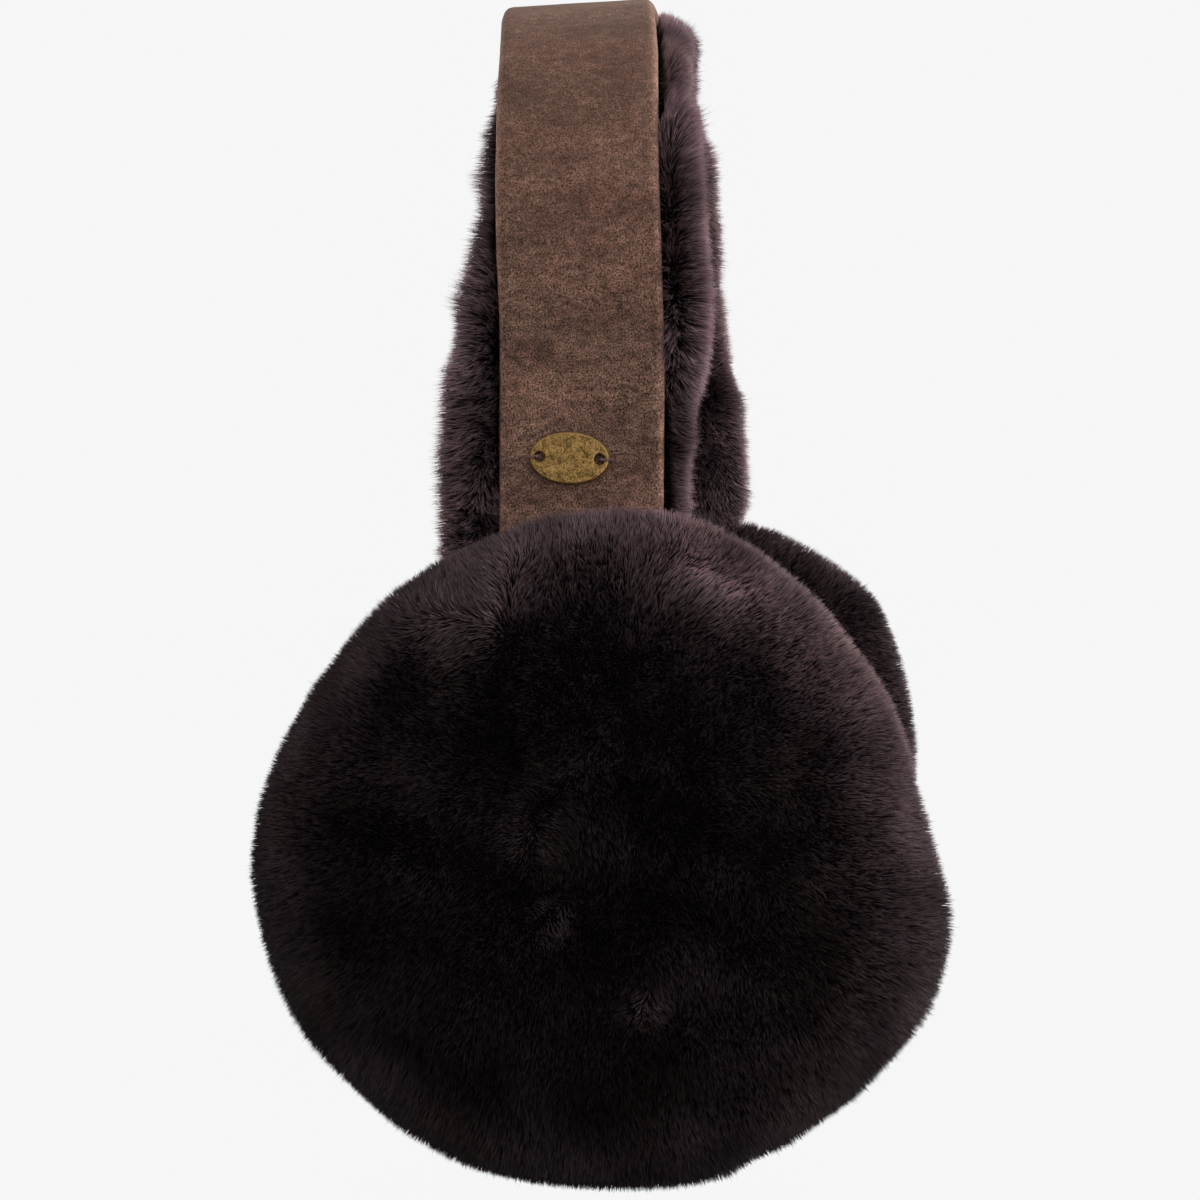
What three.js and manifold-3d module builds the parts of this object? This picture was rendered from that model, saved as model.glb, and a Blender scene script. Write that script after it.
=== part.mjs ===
// Fur earmuffs. A suede strip with a fur lining bends over the head, and each end is tucked into a
// round pad sewn from two fur covers. X runs from ear to ear, with the wearer's left at +X, Y runs
// from the face to the back of the head, and Z is up from the surface that the pads stand on.
import * as THREE from 'three';
import { mergeVertices } from 'three/addons/utils/BufferGeometryUtils.js';
import Module from 'manifold-3d';

const wasm = await Module();
wasm.setup();

// Driving sizes in millimetres
const clearance = 0.4; // gap between pieces that touch
const archSpan = 123; // across both arms, outside the suede
const armLength = 29; // straight stretch of an arm above its pad
const crownRise = 72; // height of the curved top above the straight arms
const tuckLength = 28; // end of the band inside a pad
const stripWidth = 29;
const stripThickness = 4;
const stripEdgeRadius = 1.6;
const liningHalfWidth = 22;
const liningThickness = 13;
const padRadius = 61.2; // with its pile
const padForward = 0.7; // from the strip's middle to the pad's middle, towards the face
const outerLoft = 27; // from the seam to the outer face
const innerLoft = 16; // from the seam to the face on the ear
const pressedFlat = 1.5; // pile that is pressed flat where a pad stands
const lockRelief = 0.7; // how far the locks of pile stand above the hollows between them
const lockSpacing = 19; // from one lock to the next
const badgeLength = 14;
const badgeWidth = 9;
const badgeThickness = 1.2;
const badgeBevel = 0.3;
const badgeHoleRadius = 0.85;
const badgeHoleSpacing = 10.5;
const badgeAbovePad = 9.8; // from the pad's top edge to the badge's middle
const badgeOffset = -1.2; // from the strip's middle, towards the face

// Driving shapes without a length
const archFullness = 2.3; // 2 would be an ellipse, more is squarer
const outerFullness = 3.2; // the same for the outer cover's profile
const innerFullness = 4.5; // the ear side is flatter
const badgeTurn = -5.5; // degrees, seen from the left

// Fineness of the faceted surfaces
const bandSegments = 48;
const cornerSegments = 2;
const outlineSegments = 40;

// Outline of each pad seen from the left: radius as a share of padRadius, anticlockwise from the back
const padOutlines = {
  left: [
    { degrees: 0, reach: 0.944 },
    { degrees: 15, reach: 0.93 },
    { degrees: 30, reach: 0.912 },
    { degrees: 45, reach: 0.93 },
    { degrees: 60, reach: 0.957 },
    { degrees: 72, reach: 0.982 },
    { degrees: 88, reach: 0.966 },
    { degrees: 102, reach: 0.949 },
    { degrees: 118, reach: 0.949 },
    { degrees: 128, reach: 0.952 },
    { degrees: 140, reach: 0.952 },
    { degrees: 155, reach: 0.974 },
    { degrees: 170, reach: 1.01 },
    { degrees: 190, reach: 1.029 },
    { degrees: 207, reach: 1.035 },
    { degrees: 222, reach: 1.01 },
    { degrees: 240, reach: 1 },
    { degrees: 260, reach: 0.982 },
    { degrees: 277, reach: 0.992 },
    { degrees: 297, reach: 0.966 },
    { degrees: 315, reach: 0.99 },
    { degrees: 330, reach: 1.016 },
    { degrees: 340, reach: 1.02 },
    { degrees: 350, reach: 0.988 },
  ],
  right: [
    { degrees: 0, reach: 0.945 },
    { degrees: 12, reach: 0.955 },
    { degrees: 20, reach: 0.97 },
    { degrees: 28, reach: 1 },
    { degrees: 36, reach: 1.022 },
    { degrees: 45, reach: 1.014 },
    { degrees: 60, reach: 1.002 },
    { degrees: 75, reach: 0.98 },
    { degrees: 90, reach: 0.965 },
    { degrees: 110, reach: 0.955 },
    { degrees: 130, reach: 0.968 },
    { degrees: 150, reach: 1.002 },
    { degrees: 172, reach: 1.015 },
    { degrees: 190, reach: 0.998 },
    { degrees: 212, reach: 0.975 },
    { degrees: 235, reach: 0.992 },
    { degrees: 250, reach: 1.008 },
    { degrees: 262, reach: 0.978 },
    { degrees: 270, reach: 0.97 },
    { degrees: 280, reach: 0.98 },
    { degrees: 292, reach: 1.005 },
    { degrees: 312, reach: 0.99 },
    { degrees: 335, reach: 0.962 },
  ],
};

// Rings of a cover from its seam to its middle, as shares of the outline
const coverRings = [1, 0.992, 0.968, 0.92, 0.85, 0.74, 0.6, 0.45, 0.3, 0.17, 0.06];

// Partings and hollows in the pile of the outer faces: place and width as shares of padRadius,
// depth as a share of the cover's loft
const faceDents = [
  { back: -0.4, up: 0.6, width: 0.17, depth: 0.07 },
  { back: -0.12, up: -0.08, width: 0.2, depth: 0.05 },
  { back: 0.18, up: -0.42, width: 0.16, depth: 0.07 },
];

// The lining along one arm: -1 is the tucked end, 0 the pad's top edge and 1 the top of the arch.
// The front and back half widths are shares of liningHalfWidth, thick a share of liningThickness.
const leftLining = [
  { along: -1, front: 0.78, back: 0.74, thick: 0.42 },
  { along: -0.6, front: 1.0, back: 0.74, thick: 0.46 },
  { along: -0.3, front: 1.29, back: 0.76, thick: 0.58 },
  { along: 0, front: 1.28, back: 0.76, thick: 0.8 },
  { along: 0.08, front: 1.24, back: 0.82, thick: 0.95 },
  { along: 0.15, front: 1.18, back: 0.9, thick: 1 },
  { along: 0.22, front: 1.07, back: 1.04, thick: 1.03 },
  { along: 0.27, front: 1.02, back: 1.0, thick: 1 },
  { along: 0.33, front: 0.91, back: 1.0, thick: 0.98 },
  { along: 0.42, front: 0.81, back: 1.01, thick: 1 },
  { along: 0.5, front: 0.79, back: 0.96, thick: 1.02 },
  { along: 0.56, front: 0.8, back: 0.92, thick: 1 },
  { along: 0.62, front: 0.74, back: 0.88, thick: 0.98 },
  { along: 1, front: 0.73, back: 0.88, thick: 1 },
];
const rightLining = [
  { along: -1, front: 0.76, back: 0.76, thick: 0.42 },
  { along: -0.6, front: 0.84, back: 0.84, thick: 0.46 },
  { along: -0.3, front: 1.02, back: 0.98, thick: 0.58 },
  { along: 0, front: 1.08, back: 1.04, thick: 0.8 },
  { along: 0.05, front: 1.1, back: 1.09, thick: 0.92 },
  { along: 0.15, front: 1.06, back: 1.06, thick: 1 },
  { along: 0.22, front: 1.02, back: 1.01, thick: 1.02 },
  { along: 0.33, front: 0.98, back: 0.86, thick: 0.98 },
  { along: 0.5, front: 0.92, back: 0.9, thick: 1 },
  { along: 0.7, front: 0.84, back: 0.92, thick: 0.99 },
  { along: 1, front: 0.73, back: 0.9, thick: 1 },
];

// Half of the lining's section. The roll beside the strip goes from the strip's edge (across 0) to
// the half width (across 1), and the belly from there to the middle of the face on the head. Rise
// and drop are shares of the thickness, from the strip's inner face.
const liningRoll = [
  { across: 0, rise: 0 },
  { across: 0.12, rise: 0.07 },
  { across: 0.5, rise: 0.08 },
  { across: 0.85, rise: -0.06 },
];
const liningBelly = [
  { across: 1, drop: 0.3 },
  { across: 0.96, drop: 0.58 },
  { across: 0.78, drop: 0.85 },
  { across: 0.45, drop: 0.98 },
];

const halfSpan = archSpan / 2;
const radians = Math.PI / 180;

// Value of a column between the rows of a table whose first column is its key
function between(table, key, at, column) {
  const next = table.findIndex((row) => row[key] > at);
  if (next < 0) return table[table.length - 1][column];
  if (next === 0) return table[0][column];
  const low = table[next - 1];
  const high = table[next];
  const part = (at - low[key]) / (high[key] - low[key]);
  return THREE.MathUtils.lerp(low[column], high[column], part);
}

// Radius of a pad's outline as a share of padRadius, on round curves between the table's rows
function outlineReach(degrees, side) {
  const outline = padOutlines[side];
  const closed = [...outline, { degrees: 360, reach: outline[0].reach }];
  const next = closed.findIndex((row) => row.degrees > degrees);
  const low = closed[next - 1];
  const high = closed[next];
  const part = (degrees - low.degrees) / (high.degrees - low.degrees);
  return THREE.MathUtils.lerp(low.reach, high.reach, THREE.MathUtils.smoothstep(part, 0, 1));
}

// Height of a pad's middle, from which its outline reaches down to the pressed pile
function padMiddle(side) {
  const drops = padOutlines[side].map((row) => -row.reach * Math.sin(row.degrees * radians));
  return padRadius * Math.max(...drops) - pressedFlat;
}

// Places that follow from the pads and the strip
const padTop = padMiddle('left') + padRadius * outlineReach(90, 'left');
const springHeight = padTop + armLength;
const bandEnd = padTop - tuckLength;
const seamPlane = halfSpan - stripThickness / 2; // distance of the pads' seams from the middle

// Point of the strip's outer line on the arch: 0 at the left spring, 1 at the right one
function archPoint(turn) {
  const across = Math.cos(Math.PI * turn);
  const up = Math.sin(Math.PI * turn);
  const power = 2 / archFullness;
  const x = halfSpan * Math.sign(across) * Math.abs(across) ** power;
  return new THREE.Vector2(x, springHeight + crownRise * Math.max(up, 0) ** power);
}

// Even stations along the strip's outer line, from the left end over the head to the right end.
// grow lengthens both ends.
function bandStations(grow) {
  const fine = 4 * bandSegments;
  const line = [new THREE.Vector2(halfSpan, bandEnd - grow)];
  for (let i = 0; i <= fine; i += 1) line.push(archPoint(i / fine));
  line.push(new THREE.Vector2(-halfSpan, bandEnd - grow));
  const points = new THREE.Path(line).getSpacedPoints(bandSegments);
  const length = new THREE.Path(line).getLength();
  return points.map((point, i) => {
    const before = points[Math.max(i - 1, 0)];
    const after = points[Math.min(i + 1, bandSegments)];
    const along = after.clone().sub(before).normalize();
    const outward = new THREE.Vector2(along.y, -along.x);
    const travel = (length * i) / bandSegments;
    const fromEnd = Math.min(travel, length - travel) - grow;
    const free = length / 2 - grow - tuckLength;
    const past = fromEnd - tuckLength;
    return {
      point,
      outward,
      left: travel <= length / 2,
      along: past < 0 ? past / tuckLength : past / free,
      lock: lockRelief * Math.sin((2 * Math.PI * travel) / lockSpacing),
    };
  });
}

// Closed body through rings of equal length, each a list of THREE.Vector3
function loft(rings, startPoint, endPoint) {
  const count = rings[0].length;
  const points = [...rings.flat(), startPoint, endPoint];
  const start = points.length - 2;
  const end = points.length - 1;
  const last = (rings.length - 1) * count;
  const faces = [];
  for (let j = 0; j < count; j += 1) {
    const k = (j + 1) % count;
    for (let i = 0; i < rings.length - 1; i += 1) {
      const a = i * count;
      const b = a + count;
      faces.push(a + j, a + k, b + k, a + j, b + k, b + j);
    }
    faces.push(start, k, j);
    faces.push(end, last + j, last + k);
  }
  const geometry = new THREE.BufferGeometry().setFromPoints(points);
  geometry.setIndex(faces);
  return geometry;
}

// Middle of a ring's points, for the fan that closes an end
function middleOf(ring) {
  const sum = ring.reduce((total, point) => total.add(point), new THREE.Vector3());
  return sum.divideScalar(ring.length);
}

// Closed body from a section at each station; out is measured from the strip's outer line
function sweep(stations, sectionAt) {
  const rings = stations.map((station) => {
    const { point, outward } = station;
    return sectionAt(station).map(({ back, out }) => {
      const x = point.x + outward.x * out;
      const z = point.y + outward.y * out;
      return new THREE.Vector3(x, back, z);
    });
  });
  return loft(rings, middleOf(rings[0]), middleOf(rings[rings.length - 1]));
}

// Solid for joining and cutting, from a closed geometry, and the way back
function solidOf(geometry) {
  const bare = geometry.clone();
  bare.deleteAttribute('normal');
  bare.deleteAttribute('uv');
  const merged = mergeVertices(bare, 1e-4);
  const mesh = new wasm.Mesh({
    numProp: 3,
    vertProperties: new Float32Array(merged.attributes.position.array),
    triVerts: new Uint32Array(merged.index.array),
  });
  return new wasm.Manifold(mesh);
}

function geometryOf(solid) {
  const mesh = solid.getMesh();
  const geometry = new THREE.BufferGeometry();
  geometry.setAttribute('position', new THREE.BufferAttribute(mesh.vertProperties, 3));
  geometry.setIndex(new THREE.BufferAttribute(mesh.triVerts, 1));
  return geometry;
}

// Suede strip: a flat bar with rounded edges, at most as round as its thickness lets them be
function stripSection(grow) {
  const radius = Math.min(stripEdgeRadius, 0.49 * stripThickness) + grow;
  const middleOut = -stripThickness / 2;
  const cornerBack = stripWidth / 2 + grow - radius;
  const cornerOut = stripThickness / 2 + grow - radius;
  const corners = [
    { back: cornerBack, out: cornerOut, from: 90 },
    { back: cornerBack, out: -cornerOut, from: 0 },
    { back: -cornerBack, out: -cornerOut, from: 270 },
    { back: -cornerBack, out: cornerOut, from: 180 },
  ];
  return corners.flatMap((corner) => {
    const steps = Array.from({ length: cornerSegments + 1 }, (_, i) => i / cornerSegments);
    return steps.map((step) => {
      const angle = (corner.from - 90 * step) * radians;
      const back = corner.back + radius * Math.cos(angle);
      return { back, out: middleOut + corner.out + radius * Math.sin(angle) };
    });
  });
}

function stripGeometry(grow = 0) {
  const section = stripSection(grow);
  return sweep(bandStations(grow), () => section);
}

// Fur lining: flat under the strip, rolled up beside it and rounded towards the head, with locks of
// pile that stand out in turn
function liningSection(station, grow) {
  const table = station.left ? leftLining : rightLining;
  const thick = liningThickness * between(table, 'along', station.along, 'thick');
  const top = -stripThickness - clearance;
  const stripEdge = stripWidth / 2 + clearance;
  const half = (side) => {
    const width = liningHalfWidth * between(table, 'along', station.along, side) + grow;
    const roll = liningRoll.map((row) => {
      const back = THREE.MathUtils.lerp(stripEdge, width + station.lock * row.across, row.across);
      return { back, out: top + row.rise * liningThickness + grow };
    });
    const belly = liningBelly.map((row) => {
      const back = row.across * (width + station.lock);
      return { back, out: top - row.drop * thick - grow };
    });
    return [...roll, ...belly];
  };
  const back = half('back');
  const front = half('front').map((point) => ({ back: -point.back, out: point.out }));
  const bellyMiddle = { back: 0, out: top - thick - grow - station.lock };
  return [...back, bellyMiddle, ...front.reverse()];
}

function liningGeometry(grow = 0) {
  return sweep(bandStations(grow), (station) => liningSection(station, grow));
}

// Place of the band and its clearance, which the covers are cut by
const bandRoom = solidOf(stripGeometry(clearance)).add(solidOf(liningGeometry(clearance)));

// Everything below the surface that the pads stand on
function belowFloor() {
  const size = 4 * padRadius;
  return solidOf(new THREE.BoxGeometry(2 * size, size, size).translate(0, 0, -size / 2));
}

// Height of the locks of pile on a pad, from -1 to 1
function lockAt(back, up) {
  const turn = (2 * Math.PI) / lockSpacing;
  return Math.sin(turn * (0.9 * back + 0.4 * up)) * Math.sin(turn * (0.8 * up - 0.5 * back));
}

// Depth of the dents on an outer face as a share of the loft
function dentAt(back, up) {
  const shares = faceDents.map((dent) => {
    const squared = (back / padRadius - dent.back) ** 2 + (up / padRadius - dent.up) ** 2;
    return dent.depth * Math.exp(-squared / dent.width ** 2);
  });
  return shares.reduce((total, share) => total + share, 0);
}

// One half of a pad, from its seam to its domed face. outside is 1 for the cover that faces away
// from the head and -1 for the one on the ear.
function coverGeometry(side, outside) {
  const sideSign = side === 'left' ? 1 : -1;
  const direction = sideSign * outside;
  const loftHeight = outside > 0 ? outerLoft : innerLoft;
  const fullness = outside > 0 ? outerFullness : innerFullness;
  const seam = sideSign * seamPlane + direction * clearance / 2;
  const middle = padMiddle(side);
  const liftAt = (ring, back, up) => {
    const dome = Math.sqrt(1 - ring ** fullness);
    const dent = outside > 0 ? dentAt(back, up) : 0;
    return dome * (loftHeight * (1 - dent) + lockRelief * lockAt(back, up));
  };
  const rings = coverRings.map((ring) => Array.from({ length: outlineSegments }, (_, i) => {
    const degrees = (360 * i) / outlineSegments;
    const reach = padRadius * ring * outlineReach(degrees, side);
    const back = reach * Math.cos(degrees * radians);
    const up = reach * Math.sin(degrees * radians);
    const lift = liftAt(ring, back, up);
    return new THREE.Vector3(seam + direction * lift, back - padForward, middle + up);
  }));
  const seamMiddle = new THREE.Vector3(seam, -padForward, middle);
  const faceMiddle = seamMiddle.clone().setX(seam + direction * liftAt(0, 0, 0));
  const body = loft(rings, seamMiddle, faceMiddle);
  if (direction < 0) body.index.array.reverse();
  return geometryOf(solidOf(body).subtract(bandRoom).subtract(belowFloor()));
}

// Oval badge with a thread hole at each end, flat on the strip of the left arm
function badgeGeometry() {
  const rim = new THREE.Shape();
  const half = badgeLength / 2 - badgeBevel;
  rim.absellipse(0, 0, half, badgeWidth / 2 - badgeBevel, 0, 2 * Math.PI);
  for (const end of [-1, 1]) {
    const hole = new THREE.Path();
    const middle = (end * badgeHoleSpacing) / 2;
    hole.absarc(middle, 0, badgeHoleRadius + badgeBevel, 0, 2 * Math.PI, true);
    rim.holes.push(hole);
  }
  const plate = new THREE.ExtrudeGeometry(rim, {
    depth: badgeThickness - 2 * badgeBevel,
    bevelThickness: badgeBevel,
    bevelSize: badgeBevel,
    bevelSegments: 1,
    curveSegments: 12,
  });
  return geometryOf(solidOf(plate.translate(0, 0, badgeBevel)));
}

const suede = new THREE.MeshStandardMaterial({ color: 0x634b41, roughness: 0.9 });
const fur = new THREE.MeshStandardMaterial({ color: 0x2c2225, roughness: 1 });
const antiqueBrass = new THREE.MeshStandardMaterial({
  color: 0x8a744a,
  roughness: 0.45,
  metalness: 1,
});

// The named pieces
function piece(name, geometry, material) {
  const mesh = new THREE.Mesh(geometry, material);
  mesh.name = name;
  return mesh;
}

function headband() {
  const band = new THREE.Group();
  band.add(piece('headband_strip', stripGeometry(), suede));
  band.add(piece('headband_lining', liningGeometry(), fur));
  return band;
}

function pad(side) {
  const both = new THREE.Group();
  both.add(piece(`${side}_pad_outer_cover`, coverGeometry(side, 1), fur));
  both.add(piece(`${side}_pad_inner_cover`, coverGeometry(side, -1), fur));
  return both;
}

// The badge is drawn lying flat, then stood up to face left and turned in its own plane
function badge() {
  const upright = badgeGeometry().rotateX(Math.PI / 2).rotateZ(Math.PI / 2);
  const mesh = piece('badge', upright, antiqueBrass);
  mesh.rotation.x = badgeTurn * radians;
  mesh.position.set(halfSpan + clearance, badgeOffset, padTop + badgeAbovePad);
  return mesh;
}

const earmuffs = new THREE.Group();
earmuffs.add(headband(), pad('left'), pad('right'), badge());

// The pads' outlines aren't even, so the whole is centred over its origin
const box = new THREE.Box3().setFromObject(earmuffs);
const boxMiddle = box.getCenter(new THREE.Vector3());
earmuffs.position.set(-boxMiddle.x, -boxMiddle.y, -box.min.z);
earmuffs.updateMatrixWorld(true);

export default earmuffs;
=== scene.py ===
"""Fur earmuffs around their CAD frame: a suede strip with a fur lining, two fur pads and a brass badge."""

import math

import bpy
import numpy as np
from mathutils import Matrix, Vector, noise
from mathutils.bvhtree import BVHTree


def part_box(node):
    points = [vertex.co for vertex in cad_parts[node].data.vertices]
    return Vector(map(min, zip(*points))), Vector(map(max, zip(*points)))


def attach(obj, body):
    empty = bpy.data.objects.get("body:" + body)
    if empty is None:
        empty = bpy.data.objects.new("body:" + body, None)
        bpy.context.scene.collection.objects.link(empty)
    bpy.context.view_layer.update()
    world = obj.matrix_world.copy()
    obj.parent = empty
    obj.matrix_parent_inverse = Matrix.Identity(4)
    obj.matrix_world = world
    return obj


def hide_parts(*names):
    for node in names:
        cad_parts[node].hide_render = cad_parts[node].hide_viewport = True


bl_info = {
    "name": "Fur earmuffs",
    "version": (1, 0, 0),
    "blender": (4, 5, 0),
    "location": "3D View > Sidebar > Earmuffs",
    "description": "Makes suede, fur and brass earmuffs around their CAD frame",
    "category": "Add Mesh",
}

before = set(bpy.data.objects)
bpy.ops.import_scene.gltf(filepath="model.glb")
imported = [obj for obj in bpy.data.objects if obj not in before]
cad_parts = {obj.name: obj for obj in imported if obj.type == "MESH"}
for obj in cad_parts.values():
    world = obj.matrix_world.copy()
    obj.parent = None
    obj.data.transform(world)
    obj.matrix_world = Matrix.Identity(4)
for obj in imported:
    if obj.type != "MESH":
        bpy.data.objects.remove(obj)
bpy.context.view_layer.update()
MM = 0.001


def linear(code):
    """An sRGB hex value as linear red, green and blue."""
    shares = [int(code[i : i + 2], 16) / 255 for i in (1, 3, 5)]
    return tuple(s / 12.92 if s <= 0.04045 else ((s + 0.055) / 1.055) ** 2.4 for s in shares)


# Sizes and colours that a user would change


class EarmuffBand(bpy.types.PropertyGroup):
    crown_rise: bpy.props.FloatProperty(
        name="Crown rise", description="Height of the curved top above the straight arms",
        default=0.072, unit="LENGTH")
    fullness: bpy.props.FloatProperty(
        name="Arch fullness", description="2 would be an ellipse, more is squarer", default=2.3)
    lean: bpy.props.FloatProperty(
        name="Lean", description="How far forward the left arm's end stands", default=0.0026, unit="LENGTH")
    drift: bpy.props.FloatProperty(
        name="Drift", description="How far forward the crown stands", default=0.0024, unit="LENGTH")
    thickness: bpy.props.FloatProperty(
        name="Strip thickness", description="Suede over its spring", default=0.004, unit="LENGTH")
    edge_radius: bpy.props.FloatProperty(
        name="Edge radius", description="Rounding of the strip's long edges", default=0.0017, unit="LENGTH")
    unevenness: bpy.props.FloatProperty(
        name="Unevenness", description="How far the suede waves over its core", default=0.0005,
        unit="LENGTH")
    twist: bpy.props.FloatProperty(
        name="Twist", description="Degrees that the crown's front edge stands up", default=3.5)
    suede: bpy.props.FloatVectorProperty(
        name="Suede", description="The strip's ground colour", default=linear("#7f5e51"),
        subtype="COLOR", min=0, max=1)
    handled: bpy.props.FloatVectorProperty(
        name="Handled suede", description="Where hands have greyed the nap", default=linear("#6d5448"),
        subtype="COLOR", min=0, max=1)


class EarmuffFur(bpy.types.PropertyGroup):
    pile: bpy.props.FloatProperty(
        name="Pile", description="Length of the pads' sheared pile", default=0.0024, unit="LENGTH")
    lining_pile: bpy.props.FloatProperty(
        name="Lining pile", description="Length of the lining's pile", default=0.0033, unit="LENGTH")
    fibre_width: bpy.props.FloatProperty(
        name="Fibre width", description="A few real fibres drawn as one, so that it shows",
        default=0.00024, unit="LENGTH")
    leather: bpy.props.FloatProperty(
        name="Leather", description="Thickness of the skin that carries the pile", default=0.0014,
        unit="LENGTH")
    puff: bpy.props.FloatProperty(
        name="Puff", description="Most that the stuffing swells a pad", default=0.0015, unit="LENGTH")
    root: bpy.props.FloatVectorProperty(
        name="Root colour", description="The pile near the skin", default=linear("#100809"),
        subtype="COLOR", min=0, max=1)
    tip: bpy.props.FloatVectorProperty(
        name="Tip colour", description="The pile's tips", default=linear("#645457"),
        subtype="COLOR", min=0, max=1)


class EarmuffBadge(bpy.types.PropertyGroup):
    length: bpy.props.FloatProperty(
        name="Length", description="Across the oval", default=0.014, unit="LENGTH")
    height: bpy.props.FloatProperty(
        name="Height", description="Up the oval", default=0.009, unit="LENGTH")
    bevel: bpy.props.FloatProperty(
        name="Bevel", description="Rounding of the badge's rim", default=0.00032, unit="LENGTH")
    hole: bpy.props.FloatProperty(
        name="Hole radius", description="Radius of the two thread holes", default=0.00085, unit="LENGTH")
    hole_spacing: bpy.props.FloatProperty(
        name="Hole spacing", description="Between the holes' middles", default=0.0105, unit="LENGTH")
    turn: bpy.props.FloatProperty(
        name="Turn", description="Degrees in the badge's own plane", default=-5.5)
    sag: bpy.props.FloatProperty(
        name="Sag", description="How far the badge hangs on its thread", default=0.0008, unit="LENGTH")
    slide: bpy.props.FloatProperty(
        name="Slide", description="How far forward of its CAD place the badge sits", default=0.00135,
        unit="LENGTH")
    thread: bpy.props.FloatProperty(
        name="Thread", description="Thickness of one ply", default=0.00034, unit="LENGTH")
    brass: bpy.props.FloatVectorProperty(
        name="Brass", description="Antique brass where it is rubbed", default=linear("#af8b55"),
        subtype="COLOR", min=0, max=1)
    patina: bpy.props.FloatVectorProperty(
        name="Patina", description="The dark film in its hollows", default=linear("#463619"),
        subtype="COLOR", min=0, max=1)


class EarmuffStage(bpy.types.PropertyGroup):
    azimuth: bpy.props.FloatProperty(
        name="Camera azimuth", description="Degrees; 90 looks along -X", default=96.68)
    pitch: bpy.props.FloatProperty(
        name="Camera pitch", description="Degrees below the horizon", default=1.65)
    roll: bpy.props.FloatProperty(
        name="Camera roll", description="Degrees, clockwise", default=2.79)
    lens: bpy.props.FloatProperty(
        name="Lens", description="Millimetres on a 36 mm sensor", default=59.46)
    place: bpy.props.FloatVectorProperty(
        name="Camera place", description="Where the camera stands", default=(0.4042, 0.0436, 0.1119),
        subtype="TRANSLATION", unit="LENGTH")
    ground: bpy.props.FloatVectorProperty(
        name="Ground", description="Floor and background", default=linear("#f6f6f6"),
        subtype="COLOR", min=0, max=1)


# Small tools for nodes and meshes


def wire(tree, node, inputs):
    """Sets a node's inputs, by name or number, to a value, an output or another node's first output."""
    for key, value in inputs.items():
        if isinstance(value, bpy.types.Node):
            value = value.outputs[0]
        if isinstance(value, bpy.types.NodeSocket):
            tree.links.new(value, node.inputs[key])
        else:
            node.inputs[key].default_value = value


def add(tree, kind, inputs=None, **settings):
    """A new node with its settings and its inputs."""
    made = tree.nodes.new(kind)
    for name, value in settings.items():
        setattr(made, name, value)
    wire(tree, made, inputs or {})
    return made


def new_tree(name, sockets):
    """A Geometry Nodes tree that takes and gives a geometry, with named inputs: name, kind and default."""
    tree = bpy.data.node_groups.new(name, "GeometryNodeTree")
    tree.interface.new_socket(name="Geometry", in_out="INPUT", socket_type="NodeSocketGeometry")
    tree.interface.new_socket(name="Geometry", in_out="OUTPUT", socket_type="NodeSocketGeometry")
    for label, kind, default in sockets:
        socket = tree.interface.new_socket(name=label, in_out="INPUT", socket_type=kind)
        socket.default_value = default
    return tree


def close_tree(tree, geometry, material):
    """Ends a tree in Realize Instances and Set Material."""
    solid = add(tree, "GeometryNodeRealizeInstances", {"Geometry": geometry})
    finished = add(tree, "GeometryNodeSetMaterial", {"Geometry": solid, "Material": material})
    add(tree, "NodeGroupOutput", {"Geometry": finished})


def placed(name, data):
    """An object at the origin that carries the data, both with this name."""
    made = bpy.data.objects.new(name, data)
    data.name = name
    bpy.context.scene.collection.objects.link(made)
    return made


def plain_mesh(source):
    """The mesh that an object's modifiers or its curve make. The object goes, with its modifiers."""
    graph = bpy.context.evaluated_depsgraph_get()
    mesh = bpy.data.meshes.new_from_object(source.evaluated_get(graph), depsgraph=graph)
    bpy.data.objects.remove(source)
    return mesh


def grown(source, tree, values, name):
    """The plain mesh object that the tree makes on source, which is removed."""
    modifier = source.modifiers.new(tree.name, "NODES")
    modifier.node_group = tree
    for item in tree.interface.items_tree:
        if item.in_out == "INPUT" and item.name in values:
            modifier[item.identifier] = values[item.name]
    return placed(name, plain_mesh(source))


def mesh_object(name, points, faces, smooth=True):
    """An object of these points and faces."""
    mesh = bpy.data.meshes.new(name)
    mesh.from_pydata([tuple(p) for p in points], [], [tuple(int(i) for i in f) for f in faces])
    mesh.polygons.foreach_set("use_smooth", [smooth] * len(mesh.polygons))
    mesh.update()
    return placed(name, mesh)


def new_material(name):
    """A named material: returns it, its tree and its Principled shader."""
    material = bpy.data.materials.new(name)
    material.use_nodes = True
    tree = material.node_tree
    return material, tree, tree.nodes["Principled BSDF"]


def numbers(mesh, name):
    """A point attribute's values as an array."""
    values = np.zeros(len(mesh.vertices), np.float32)
    mesh.attributes[name].data.foreach_get("value", values)
    return values


def keep(mesh, name, values):
    """Stores a number or a vector for each point of a mesh."""
    values = np.asarray(values, np.float32)
    vector = values.ndim == 2
    made = mesh.attributes.new(name, "FLOAT_VECTOR" if vector else "FLOAT", "POINT")
    made.data.foreach_set("vector" if vector else "value", values.ravel())


def vectors(items, field):
    """One vector of each vertex as the rows of an array."""
    values = np.zeros(len(items) * 3, np.float32)
    items.foreach_get(field, values)
    return values.reshape(-1, 3).astype(float)


def points_and_normals(mesh):
    """A mesh's points and the normals at them, as rows."""
    return vectors(mesh.vertices, "co"), vectors(mesh.vertex_normals, "vector")


def solid_surface(node):
    """The surface of a CAD node, for rays."""
    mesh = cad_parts[node].data
    return BVHTree.FromPolygons([v.co for v in mesh.vertices], [list(p.vertices) for p in mesh.polygons])


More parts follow.
